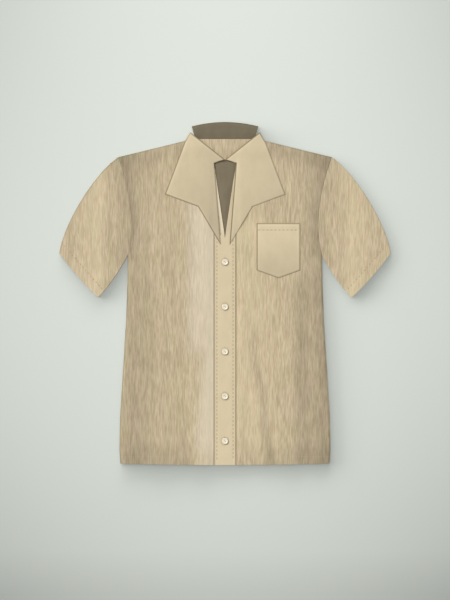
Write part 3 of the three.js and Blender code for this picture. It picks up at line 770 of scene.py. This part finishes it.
def along(path, pitch):
    """Evenly spaced places on a path, each with the path's direction there."""
    places, due = [], pitch / 2
    for (ax, ay), (bx, by) in zip(path, path[1:]):
        length = math.dist((ax, ay), (bx, by))
        while due < length:
            t = due / length
            places.append((ax + (bx - ax) * t, ay + (by - ay) * t, math.atan2(by - ay, bx - ax)))
            due += pitch
        due -= length
    return places


def add_bead(bm, place, angle, length, width, thick):
    """One stitch: a bead of thread drawn out along its own direction."""
    shape = Matrix.Diagonal((length, width, thick, 1)) @ Matrix.Rotation(math.pi / 2, 4, "Y")
    matrix = Matrix.Translation(place) @ Matrix.Rotation(angle, 4, "Z") @ shape
    bmesh.ops.create_uvsphere(bm, u_segments=6, v_segments=5, radius=0.5, matrix=matrix)


def make_stitches(name, material, *rows):
    """Rows of stitches, each a path, the cloth's height and a kind of stitch, half sunk in the cloth."""
    bm = bmesh.new()
    for path, height, (pitch, *bead) in rows:
        for x, y, angle in along(path, pitch):
            add_bead(bm, (x, y, float(height(x, y))), angle, *bead)
    return finish_piece(bm, name, ("thread", material))


# %% [markdown]
# ## Back
# The back is the lowest cloth, so its outside lies on the table and its inside, painted dark as shade,
# looks up where the open neck shows it. Its outside has shallow troughs of its own, pressed in by lying on
# them.

# %% Back panel
BACK_TROUGHS = [
    ("centre", (12, 230), (-6, -400), (26, 22), 0.32),
    ("right", (-120, 150), (-132, -430), (30, 24), 0.30),
    ("left", (104, 60), (122, -430), (22, 30), 0.34),
    ("blade_left", (176, 250), (120, 20), (20, 16), 0.26),
    ("blade_right", (-182, 240), (-150, -20), (16, 20), 0.24),
]
HEM_TOP_Y = -365.0  # top of the body's turned hem
HEM_ROW_Y = HEM_TOP_Y - 3
NECK_V = (146, 292, 25)  # foot and top of the open neck, and half its width there


def hem_thickness(x, y):
    """The cloth is double on the turned hem."""
    return mixed(CLOTH, HEM_CLOTH, ramp(HEM_TOP_Y + 1.5, HEM_TOP_Y - 1.5, y))


def hem_groove(x, y):
    """The hem's stitches draw a shallow groove."""
    return 0.16 * (1 - ramp(0, 1.6, abs(y - HEM_ROW_Y)))


def seam_pinch(x, y):
    """1 on the side and shoulder seams, 0 a few millimetres away from them."""
    return np.maximum(ramp(3, 0, to_path(abs(x), y, side_seam)), ramp(6, 0, to_path(abs(x), y, shoulder)))


def seam_ridge(x, y):
    """The turnings of the side seam, inside, lift the front beside it."""
    to_seam = to_path(abs(x), y, side_seam)
    return 0.85 * ramp(0, 3, to_seam) * ramp(30, 6, to_seam) * ramp(84, 60, y)


def neck_bulge(x, y):
    """Inside the open neck nothing holds the back down, so it stands up a little."""
    foot, top, half_width = NECK_V
    inside = half_width * (y - foot) / (top - foot) - abs(x)
    return 1.4 * ramp(-1, 5, inside) * ramp(299, 294, y) * ramp(150, 190, y)


def back_lower(x, y):
    flat = UNDERSIDE + over_fall(x, y) + fold_height(x, y, BACK_TROUGHS) + hem_groove(x, y)
    return mixed(flat, SEAM_Z - 0.05 - CLOTH + over_fall(x, y), seam_pinch(x, y))


def back_upper(x, y):
    return back_lower(x, y) + hem_thickness(x, y) + neck_bulge(x, y)


points = outline("back")
back = make_piece("back", BODY_TURNED, points, (4.0, 7.0), back_upper, back_lower)
row = ([(-234, HEM_ROW_Y), (234, HEM_ROW_Y)], lambda x, y: back_lower(x, y) + 0.08, FINE_STITCH)
make_stitches("back_hem_stitches", pale_thread, row)

# %% [markdown]
# ## Fronts
# A front is cut from the outline of its solid and raised to the folds. Along the side and shoulder
# seams it sinks to meet the back, and at the armhole it dips into the seam.

# %% Front panels
def armhole_dip(x, y):
    return 0.22 * ramp(2.6, 0, to_path(abs(x), y, armhole))


def front_upper(x, y):
    free = upper_z(x, y) + seam_ridge(x, y) - armhole_dip(x, y) - hem_groove(x, y)
    at_seam = SEAM_Z + 0.05 + CLOTH + over_fall(x, y) + slack(x, y)
    return mixed(free, at_seam, seam_pinch(x, y))


def front_lower(x, y):
    return front_upper(x, y) - hem_thickness(x, y)


band_edge = [(BAND_HALF + 0.3, 132), (BAND_HALF + 0.3, BAND_FOOT_Y)]
for side, points, facing in both_sides(front_outline):
    # painted shade lines beside the band and the shoulder, and along the side seam on the right front only,
    # each with a painted highlight inside it
    beside = 0.50 if side == "right" else 0.0
    pressed = [(facing(band_edge), 0.42), (facing(shoulder), 0.30), (facing(side_seam), beside)]
    name = f"front_{side}"
    front = make_piece(
        name, BODY, points, (3.2, 6.5), front_upper, front_lower, pressed=pressed, tone=front_tone
    )
    row = (facing([(27, HEM_ROW_Y), (234, HEM_ROW_Y)]), front_upper, FINE_STITCH)
    make_stitches(f"{name}_hem_stitches", pale_thread, row)

# %% [markdown]
# ## Facing inside the neck
# Between the two collar leaves the inside of the neck shows a small triangle of the body's own cloth.

# %% Back neck facing
def facing_upper(x, y):
    return LAYER + WALL - 0.1 + over_fall(x, y) + slack(x, y)


def beneath(upper, thickness):
    """The lower side of a cloth that is as thick everywhere."""
    return lambda x, y: upper(x, y) - thickness


points = outline("back_neck_facing")
neck_facing = make_piece(
    "back_neck_facing", FACING, points, (4.0, 4.0), facing_upper, beneath(facing_upper, CLOTH),
    name="neck_facing_cloth",
)

# %% [markdown]
# ## Sleeves
# A short sleeve is a tube. Laid flat it has a fold along its top, a seam under the arm and two layers
# between them. Both layers are cut alike, rounded towards the fold and the seam, and welded there. The
# ends stay open, and a Solidify modifier gives the tube its wall, with its inside painted dark as shade.

# %% Sleeves
SLEEVE_ROUND = 1.3  # radius of the folded edges of the tube
SLEEVE_TROUGHS = [
    ("under_right", (-290, 200), (-330, -40), (24, 20), 0.3),
    ("under_left", (276, 210), (312, -40), (20, 24), 0.3),
]


def sleeve_hem_groove(x, y):
    return 0.22 * (1 - ramp(0, 1.8, abs(to_path(abs(x), y, sleeve_hem) - SLEEVE_HEM)))


def sleeve_top(x, y):
    hem_lies = 0.25 * ramp(18, 2, to_path(abs(x), y, sleeve_hem))
    return upper_z(x, y) - armhole_dip(x, y) - sleeve_hem_groove(x, y) - hem_lies


def sleeve_bottom(x, y):
    return 0.1 + fold_height(x, y, SLEEVE_TROUGHS) + sleeve_hem_groove(x, y)


def sleeve_under_row(x, y):
    return sleeve_bottom(x, y) + 0.26


def sleeve_tube(points):
    bm, cut = cut_cloth(points, step=(3.4, 4.6))
    x, y = plan(bm)
    to_fold = to_path(abs(x), y, sleeve_fold)
    folded = np.minimum(to_fold, to_path(abs(x), y, underarm))
    rounded = rounding(folded, SLEEVE_ROUND)
    # painted shade along the sleeve's top fold, far darker on the right sleeve than on the left
    press = np.where(x < 0, 0.62, 0.05) * ramp(2.6, 0.8, to_fold)
    mark(bm, press=press, tone=sleeve_tone(x, y), fold=folded)
    two_sides(bm, mixed(SEAM_Z, sleeve_top(x, y), rounded), mixed(SEAM_Z, sleeve_bottom(x, y), rounded))
    fold = bm.verts.layers.float["fold"]
    folded_rim = [v for v in bm.verts if v.is_boundary and v[fold] < 2 * ON_EDGE]
    bmesh.ops.remove_doubles(bm, verts=folded_rim, dist=2 * ON_EDGE)
    unmark(bm, "under")
    unmark(bm, "fold")
    return bm


corner = Vector(SLEEVE_TOP_CORNER)
along_hem = Vector(SLEEVE_UNDER_CORNER) - corner
inwards = Vector((along_hem.y, -along_hem.x)).normalized() * SLEEVE_HEM
hem_row = [tuple(corner + along_hem * share + inwards) for share in (-0.06, 0.955)]

for side, points, facing in both_sides(sleeve_outline):
    name = f"sleeve_{side}"
    sleeve = finish_piece(sleeve_tube(points), f"{name}_cloth", BODY, [name])
    wall = sleeve.modifiers.new("wall", "SOLIDIFY")
    wall.thickness, wall.offset = CLOTH * MM, -1.0
    wall.material_offset, wall.material_offset_rim = 1, 0
    rows = [(facing(hem_row), height, SLEEVE_STITCH) for height in (sleeve_top, sleeve_under_row)]
    stitches = make_stitches(f"{name}_stitches", mouth_thread, *rows)

# %% [markdown]
# ## Button bands
# A band is a strip folded double and pressed, so it is flatter and smoother than the body. Two rows of
# stitches hold it down, and the cloth swells a little between and beside them.

# %% Bands
STITCH_ROWS = (-18.1, 18.2)
BUTTONHOLE = (1.3, 14.6)  # width and length of the slot between its stitched sides
button_places = [sum(box_mm(f"button_{i}"), Vector()) / 2 for i in range(1, 6)]


def stitch_groove(distance, depth=0.26):
    """How far a row of stitches pulls the cloth down, at a distance from the row."""
    return depth * (1 - ramp(0, 1.7, abs(distance)))


def band_upper(x, y):
    base = LAYER + WALL + LAYER * ramp(212, 148, y)
    rows = sum(stitch_groove(x - row) for row in STITCH_ROWS)
    swell = 0.10 * ramp(0, 3, abs(abs(x) - 18.3)) * ramp(BAND_HALF, BAND_HALF - 2.5, abs(x))
    return base + swell - rows


def v_strip(x, y):
    """The ends of the bands inside the V: the one underneath is painted paler there, as light against the
    collar leaf's shadow, and the other a little darker, as painted shade.
    """
    return np.where(x < 0, 0.19, -0.03) * ramp(122, 146, y)


def band_tone(x, y):
    """A ring of painted shadow round each button, and the painted light and shade of the V."""
    away = np.min([np.hypot(x - place.x, y - place.y) for place in button_places], axis=0)
    return v_strip(x, y) - 0.10 * ramp(10.6, 8.8, away)


half_width, half_length = (size / 2 for size in BUTTONHOLE)
slots = [(-half_width, place.y - half_length, half_width, place.y + half_length) for place in button_places]
# painted shade lines beside both sides of the band, each with a painted highlight inside it
band_sides = [
    ([(-BAND_HALF, 134), (-BAND_HALF, BAND_FOOT_Y)], 0.50),
    ([(BAND_HALF, 283), (BAND_HALF, BAND_FOOT_Y)], 0.46),
]
band_outline = outline("band_left")
band = make_piece(
    "band_left", PLAIN, band_outline, (2.0, 3.4), band_upper, beneath(band_upper, BAND_CLOTH),
    EDGE_LINE_RINGS[:7], slots, band_sides, band_tone,
)
rows = [([(x, top), (x, -374)], band_upper, LONG_STITCH) for x, top in zip(STITCH_ROWS, (128, 122))]
band_stitches = make_stitches("band_stitches", dark_thread, *rows)

# %% Buttonholes
BAR = dict(length=1.7, width=0.72, thick=0.5)
BAR_IN = BAR["length"] / 2 - 0.2  # from the slot's side to the middle of a bar
END_BAR = 0.7  # from the slot's end to the middle of the bars across it
bm = bmesh.new()
for x0, y0, x1, y1 in slots:
    sides = [(x, mixed(y0, y1, i / 20), 0) for i in range(21) for x in (x0 - BAR_IN, x1 + BAR_IN)]
    ends = [
        (mixed(x0 - END_BAR, x1 + END_BAR, i / 4), y, math.pi / 2)
        for i in range(5) for y in (y0 - END_BAR, y1 + END_BAR)
    ]
    for x, y, angle in sides + ends:
        add_bead(bm, (x, y, float(band_upper(x, y))), angle, **BAR)
buttonholes = finish_piece(bm, "buttonhole_stitches", ("thread", pale_thread))

# %% The band underneath
points = outline("band_right")
under_top = LAYER + WALL - 0.05
under_band = make_piece(
    "band_right", PLAIN, points, (3.0, 9.0), level(under_top), level(under_top - BAND_CLOTH), tone=v_strip
)

# %% [markdown]
# ## Pocket
# The patch pocket has a turned hem along its mouth. It is sewn down at its sides and point, where it
# lies close to the front, and stands a little open along the top.

# %% Pocket
pocket_outline = outline("pocket")
pocket_low, pocket_high = box_mm("pocket")
POCKET_CORNER_Y = 51.5
POCKET_ROW_Y = pocket_high.y - 15.5
EDGE_ROW = 2.4  # from the pocket's edge to its fine stitches


def pocket_bulge(x, y):
    """0 along the sides and the point, 1 where the pocket stands off the front."""
    return ramp(0, 26, np.minimum(x - pocket_low.x, pocket_high.x - x)) * ramp(0, 60, y - pocket_low.y)


def pocket_upper(x, y):
    thick = BAND_CLOTH + 0.15 * ramp(POCKET_ROW_Y - 1.5, POCKET_ROW_Y + 1.5, y)
    row = stitch_groove(y - POCKET_ROW_Y)
    sewn = stitch_groove(to_path(x, y, pocket_outline + pocket_outline[:1]) - EDGE_ROW, depth=0.14)
    return upper_z(x, y) + 0.25 + thick + 0.75 * pocket_bulge(x, y) - row - sewn


def pocket_lower(x, y):
    return upper_z(x, y) + 0.2 + 0.6 * pocket_bulge(x, y)


# The pocket is painted a little lighter at its mouth and painted darker towards its point, as shade.
def pocket_tone(x, y):
    return 0.015 - 0.115 * np.clip((pocket_high.y - 8 - y) / 108, 0, 1) ** 1.3


left, right, top = pocket_low.x, pocket_high.x, pocket_high.y
point = ((left + right) / 2, pocket_low.y)
# painted shade lines along the pocket's edges, each with a painted highlight inside it
pressed = [
    ([(left, top), (right, top)], 0.78),
    ([(left, top), (left, POCKET_CORNER_Y)], 0.88),
    ([(right, top), (right, POCKET_CORNER_Y)], 0.58),
    ([(left, POCKET_CORNER_Y), point], 0.56),
    ([point, (right, POCKET_CORNER_Y)], 0.44),
]
pocket = make_piece(
    "pocket", PLAIN, pocket_outline, (2.4, 2.6), pocket_upper, pocket_lower, EDGE_LINE_RINGS,
    pressed=pressed, tone=pocket_tone,
)
mouth_row = [(left + 1.5, POCKET_ROW_Y), (right - 1.5, POCKET_ROW_Y)]
edge_row = [
    (left + EDGE_ROW, top - 1.5),
    (left + EDGE_ROW, POCKET_CORNER_Y + 1.6),
    (point[0], point[1] + 2.6),
    (right - EDGE_ROW, POCKET_CORNER_Y + 1.6),
    (right - EDGE_ROW, top - 1.5),
]
sewn_on = [
    make_stitches("pocket_mouth_stitches", mouth_thread, (mouth_row, pocket_upper, LONG_STITCH)),
    make_stitches("pocket_edge_stitches", pale_thread, (edge_row, pocket_upper, FINE_STITCH)),
]

# %% [markdown]
# ## Collar
# Each side of the open collar is a leaf that runs down into a lapel: two layers of cloth sewn along
# their edge and turned. Along its inner edge the leaf rolls over from the neck, so it is thick and
# round there, and it comes down to lie on the front towards its point. Where it crosses the shoulder
# it wraps round to the back of the neck.

# %% Collar leaves
LEAF_POINTS = {
    "top": (78.4, 361.5),
    "shoulder": (91.0, 339.5),
    "point": (135.1, 222.3),
    "notch": (60.9, 194.6),
    "tip": (10.2, 109.1),
    "v_top": (24.6, 292.1),
    "v_arch": (13.0, 296.7),
    "meet": (0.15, 299.9),
}
LEAF_EDGES = [
    # start, end, how dark the painted shade line along the edge is on the left and on the right leaf: an
    # edge turned from the light has a shadow that helps it
    ("top", "shoulder", 0.7, 0.8),
    ("shoulder", "point", 0.46, 0.88),
    ("point", "notch", 0.26, 0.70),
    ("notch", "tip", 0.06, 0.78),
    ("tip", "v_top", 1.0, 0.20),
    ("v_top", "meet", 0.3, 0.3),
    ("meet", "top", 1.0, 0.8),
]
LEAF_CLOTH = 1.0
ROLL = 1.6  # how much higher the rolled edge stands
ROLL_REACH = 62.0


def leaf_path(*corners):
    return [LEAF_POINTS[corner] for corner in corners]


leaf_inner = leaf_path("top", "meet", "v_top", "tip")
leaf_outer = leaf_path("shoulder", "point", "notch", "tip")
leaf_wrap = leaf_path("top", "shoulder")


def beneath_leaf(x, y):
    """Lower side of a leaf: the cloth it lies on, and air, less along the free edge than in the middle."""
    cloth = LAYER + WALL + over_fall(x, y) + slack(x, y) + lift(-abs(x), y) + lap(abs(x), y)
    return cloth + mixed(0.2, 0.5, ramp(0, 9, to_path(abs(x), y, leaf_outer)))


def leaf_upper(x, y):
    inner, outer = (to_path(abs(x), y, path) for path in (leaf_inner, leaf_outer))
    at_neck = mixed(0.45, 1.0, ramp(286, 304, y))
    roll = ROLL * at_neck * ramp(ROLL_REACH, 1.5, inner) * ramp(0, 34, outer)
    return beneath_leaf(x, y) + LEAF_CLOTH + roll


def shoulder_side(x, y):
    """Distance above the line of the shoulder seam, less than 0 on the body."""
    (ax, ay), (bx, by) = shoulder
    length = math.hypot(bx - ax, by - ay)
    return ((abs(x) - ax) * (by - ay) - (y - ay) * (bx - ax)) / length


def leaf_lower(x, y):
    rolled = ramp(13, 19, to_path(abs(x), y, leaf_inner))
    free = mixed(beneath_leaf(x, y), leaf_upper(x, y) - LEAF_CLOTH, rolled)
    wrap = ramp(3.4, 2.2, to_path(abs(x), y, leaf_wrap)) * ramp(0.6, 2.4, shoulder_side(x, y))
    return mixed(free, UNDERSIDE, wrap)


def leaf_tone(x, y):
    """Each leaf is painted darker towards its lower right, as shade where it turns from the light."""
    right = -0.00056 * (x + 110) + 0.00042 * (y - 322)
    left = -0.00046 * (x - 38) + 0.00032 * (y - 322)
    return np.where(x < 0, right, left)


for side, points, facing in both_sides(list(LEAF_POINTS.values())):
    pressed = [
        (facing(leaf_path(start, end)), on_left if side == "left" else on_right)
        for start, end, on_left, on_right in LEAF_EDGES
    ]
    leaf = make_piece(
        f"collar_{side}", PLAIN, points, (2.6, 2.6), leaf_upper, leaf_lower, EDGE_LINE_RINGS,
        pressed=pressed, tone=leaf_tone,
    )

# %% [markdown]
# ## Back of the collar
# At the back of the neck the collar stands up and folds over. From above only its inside shows, painted
# dark as shade, up to the rolled top edge. The fall comes down behind and lies under the back.

# %% Collar stand
stand_outline = outline("collar_stand")
stand_low, _ = box_mm("collar_stand")
stand_roll = sorted(p for p in stand_outline if p[1] > 372)


def stand_upper(x, y):
    swell = 1.5 * ramp(stand_low.y, 362, y)
    return LAYER + WALL + swell * ramp(-1, 9, to_path(x, y, stand_roll)) ** 0.5


def stand_lower(x, y):
    at_roll = ramp(4.2, 3.0, to_path(x, y, stand_roll))
    return mixed(stand_upper(x, y) - BAND_CLOTH, UNDERSIDE, at_roll)


# The stand is painted a little darker all over as shade, with a painted shade line along its roll.
stand = make_piece(
    "collar_stand", STAND, stand_outline, (3.0, 2.4), stand_upper, stand_lower, EDGE_LINE_RINGS,
    pressed=[(stand_roll, 0.45)], tone=level(-0.045),
)

# %% Collar fall
ROLL_CLEAR = 4.6  # the fall keeps this far inside its outline, where the stand and the leaves roll over


def drawn_in(points, amount):
    """The outline of a piece, drawn in all round. A corner close above another is left out."""
    kept = [p for p in points if not any(math.dist(p, q) < amount and q[1] < p[1] for q in points)]
    bm, face = flat_face(kept)
    inset(bm, face, amount)
    inner = [(v.co.x, v.co.y) for v in face.verts]
    bm.free()
    return inner


points = drawn_in(outline("collar_fall"), ROLL_CLEAR)
fall = make_piece("collar_fall", PLAIN, points, (6.0, 6.0), level(WALL - 0.05), level(UNDERSIDE))

# %% [markdown]
# ## Buttons
# A shirt button is turned from shell: a disc with a raised rim, a shallow dish and two holes drilled
# after turning. So it is spun from half a profile, and a boolean takes the holes out. Thread passes
# through the holes, and a wound shank of it goes down through the buttonhole to the band below.

# %% Pearl
def pearl_material():
    material, graph, shader, where = new_material(
        "pearl_button", Roughness=0.28, Coat_Weight=0.5, Coat_Roughness=0.1
    )
    cloud = graph.span(graph.clouds(where, 0.006, 0.004, detail=2.0), 0.35, 0.65)
    grown = graph.clouds(where, 0.0012, 0.007, detail=3.0)
    rosy = graph.mix(graph.span(grown, 0.40, 0.70), WHITE, srgb(252, 248, 246))
    colour = graph.mix(cloud, srgb(238, 228, 201), srgb(248, 240, 217))
    graph.feed(shader["Base Color"], graph.tinted(colour, rosy))
    add_bump(graph, shader, grown, 0.00004)
    return material


pearl = pearl_material()

# %% Buttons
BUTTON_PROFILE = [
    (0.0, 3.95), (5.6, 3.95), (6.4, 4.15), (6.8, 4.6), (6.95, 5.1), (6.8, 5.7), (6.45, 6.1), (5.9, 6.25),
    (5.4, 6.15), (4.9, 5.85), (4.5, 5.6), (4.0, 5.5), (0.0, 5.45),
]
HOLE_RADIUS = 0.95
HOLE_AWAY = 1.7  # from the button's centre
HOLE_TURN = math.radians(-42)
through_holes = Vector((math.cos(HOLE_TURN), math.sin(HOLE_TURN), 0))


def turned(profile, steps):
    """A solid turned about the Z axis from its profile of (radius, height)."""
    bm = bmesh.new()
    verts = [bm.verts.new((r, 0, z)) for r, z in profile]
    edges = [bm.edges.new(pair) for pair in zip(verts, verts[1:])]
    bmesh.ops.spin(
        bm, geom=verts + edges, cent=(0, 0, 0), axis=(0, 0, 1), angle=math.tau, steps=steps, use_merge=True
    )
    bmesh.ops.remove_doubles(bm, verts=bm.verts, dist=0.001)
    bmesh.ops.recalc_face_normals(bm, faces=bm.faces)
    return bm


def drilled_button():
    """The mesh of one button in millimetres, with its two holes cut through."""
    blank = mesh_object("button_blank", turned(BUTTON_PROFILE, 40))
    drills = bmesh.new()
    for away in (-HOLE_AWAY, HOLE_AWAY):
        at = Matrix.Translation(through_holes * away + Vector((0, 0, 5)))
        bmesh.ops.create_cone(
            drills, cap_ends=True, segments=16, radius1=HOLE_RADIUS, radius2=HOLE_RADIUS, depth=6, matrix=at
        )
    drill = mesh_object("drills", drills)
    cut = blank.modifiers.new("holes", "BOOLEAN")
    cut.operation, cut.solver, cut.object = "DIFFERENCE", "EXACT", drill
    graph = bpy.context.evaluated_depsgraph_get()
    mesh = bpy.data.meshes.new_from_object(blank.evaluated_get(graph))
    for obj in (blank, drill):
        bpy.data.objects.remove(obj)
    return mesh


button_mesh = drilled_button()
for number, place in enumerate(button_places, 1):
    bm = bmesh.new()
    bm.from_mesh(button_mesh)
    bmesh.ops.translate(bm, vec=(place.x, place.y, 0), verts=bm.verts)
    for e in bm.edges:
        e.smooth = len(e.link_faces) == 2 and e.calc_face_angle(0.0) < math.radians(38)
    finish_piece(bm, f"pearl_button_{number}", ("pearl_button", pearl), [f"button_{number}"])

# %% Button thread
bm = bmesh.new()
for place in button_places:
    for side in (-0.3, 0.3):
        at = Vector((place.x, place.y, 5.6)) + Vector((-through_holes.y, through_holes.x, 0)) * side
        add_bead(bm, at, HOLE_TURN, length=2 * HOLE_AWAY + 0.9, width=0.6, thick=0.8)
    for z in (3.0, 3.3, 3.6, 3.9):
        add_bead(bm, (place.x, place.y, z), HOLE_TURN + z * 3, length=2.9, width=1.1, thick=0.5)
finish_piece(bm, "button_thread", ("thread", button_cotton))

# %% [markdown]
# ## Floor and light
# The shirt lies on a pale grey-green surface under a soft studio light from the upper left. Wide, very
# low soft boxes reach only the floor, as when cards keep them off the cloth: they draw the long soft
# shadow beside the shirt without cutting across the collar.

# %% Floor
FLOOR_COLOUR = srgb(185, 189, 182)
FLOOR_MIDDLE = 0.963


def floor_material():
    """A pale grey-green with a painted pool of light: lightest behind the chest, with painted shade towards
    the sides and corners and deepest near the floor's lower end.
    """
    material, graph, shader, where = new_material("studio_floor", Roughness=0.95, Specular_IOR_Level=0.1)
    parts = graph.parts(where)
    aside = graph.math("DIVIDE", parts[0], 0.5)
    aside = graph.math("MINIMUM", graph.times(aside, aside), 1.3)
    up = graph.math("DIVIDE", parts[1], 0.65)
    up = graph.math("MAXIMUM", graph.math("MINIMUM", up, 1.05), -1.05)
    up_2 = graph.times(up, up)
    near_end = graph.math("MAXIMUM", graph.math("SUBTRACT", -0.89, up), 0.0)
    changes = [
        (up, 0.028),
        (aside, -0.045),
        (up_2, -0.036),
        (graph.times(up_2, up), 0.022),
        (graph.times(up_2, aside), -0.044),
        (near_end, -0.27),
    ]
    tone = FLOOR_MIDDLE
    for place, change in changes:
        tone = graph.math("MULTIPLY_ADD", place, change, tone)
    graph.feed(shader["Base Color"], graph.tinted(FLOOR_COLOUR, graph.math("POWER", tone, 2.2)))
    return material


floor_bm = bmesh.new()
bmesh.ops.create_grid(floor_bm, x_segments=8, y_segments=8, size=4.0)
floor = mesh_object("floor", floor_bm, [floor_material()])

# %% Lights
def lamp(name, lit, kind, energy, azimuth, elevation, away=3.0, **settings):
    """A lamp for what is to be lit. Azimuth 0 is at the hem, 90 at the wearer's left sleeve."""
    data = bpy.data.lights.new(name, kind)
    data.energy = energy
    for key, value in settings.items():
        setattr(data, key, value)
    obj = as_object(name, data)
    a, e = math.radians(azimuth), math.radians(elevation)
    towards = Vector((math.sin(a) * math.cos(e), -math.cos(a) * math.cos(e), math.sin(e)))
    obj.location = towards * away
    obj.rotation_mode = "QUATERNION"
    obj.rotation_quaternion = towards.to_track_quat("Z", "Y")
    obj.light_linking.receiver_collection = lit


floor_only, not_floor = (bpy.data.collections.new(name) for name in ("floor_only", "not_floor"))
for collection in (floor_only, not_floor):
    collection.objects.link(floor)
not_floor.collection_objects[0].light_linking.link_state = "EXCLUDE"

lamp("key", not_floor, "SUN", 2.46, 232, 35, angle=math.radians(26))
lamp("floor_fill", floor_only, "SUN", 1.12, 0, 90, angle=math.radians(60), use_shadow=False)

# Each row of soft boxes draws a shadow from the cloth's edge as long as its two reaches, in millimetres.
# It has two wings, one above the shirt and one beside it, each with its own share of light.
FAR_AWAY = 30.0
SOFT_BOXES = [
    # name, reaches, share of the wing above, share of the wing beside
    ("long", (100, 50), 0.135, 0.125),
    ("middle", (50, 30), 0.180, 0.195),
    ("short", (30, 14), 0.070, 0.080),
    ("close", (18, 7), 0.004, 0.060),
]
# the azimuth of each wing, and the height of the cloth's edge, which is more at the hem
WINGS = [("above", 192, 4.3), ("beside", 252, 3.2)]
WING_HALF = math.radians(28)
for name, reaches, *shares in SOFT_BOXES:
    for (wing, azimuth, edge_height), share in zip(WINGS, shares):
        low, high = (math.atan(edge_height / reach) for reach in reaches)
        middle = (low + high) / 2
        energy = share * math.pi * math.pi * FAR_AWAY**2 / math.sin(middle)
        width, height = (2 * FAR_AWAY * math.tan(half) for half in (WING_HALF, high - middle))
        lamp(
            f"{name}_{wing}", floor_only, "AREA", energy, azimuth, math.degrees(middle), FAR_AWAY,
            shape="RECTANGLE", size=width, size_y=height,
        )

world = bpy.data.worlds.new("soft_room")
world.use_nodes = True
background = world.node_tree.nodes["Background"].inputs
background["Color"].default_value = (0.98, 0.99, 1.0, 1.0)
background["Strength"].default_value = 0.55
scene.world = world
scene.view_settings.view_transform = "Standard"
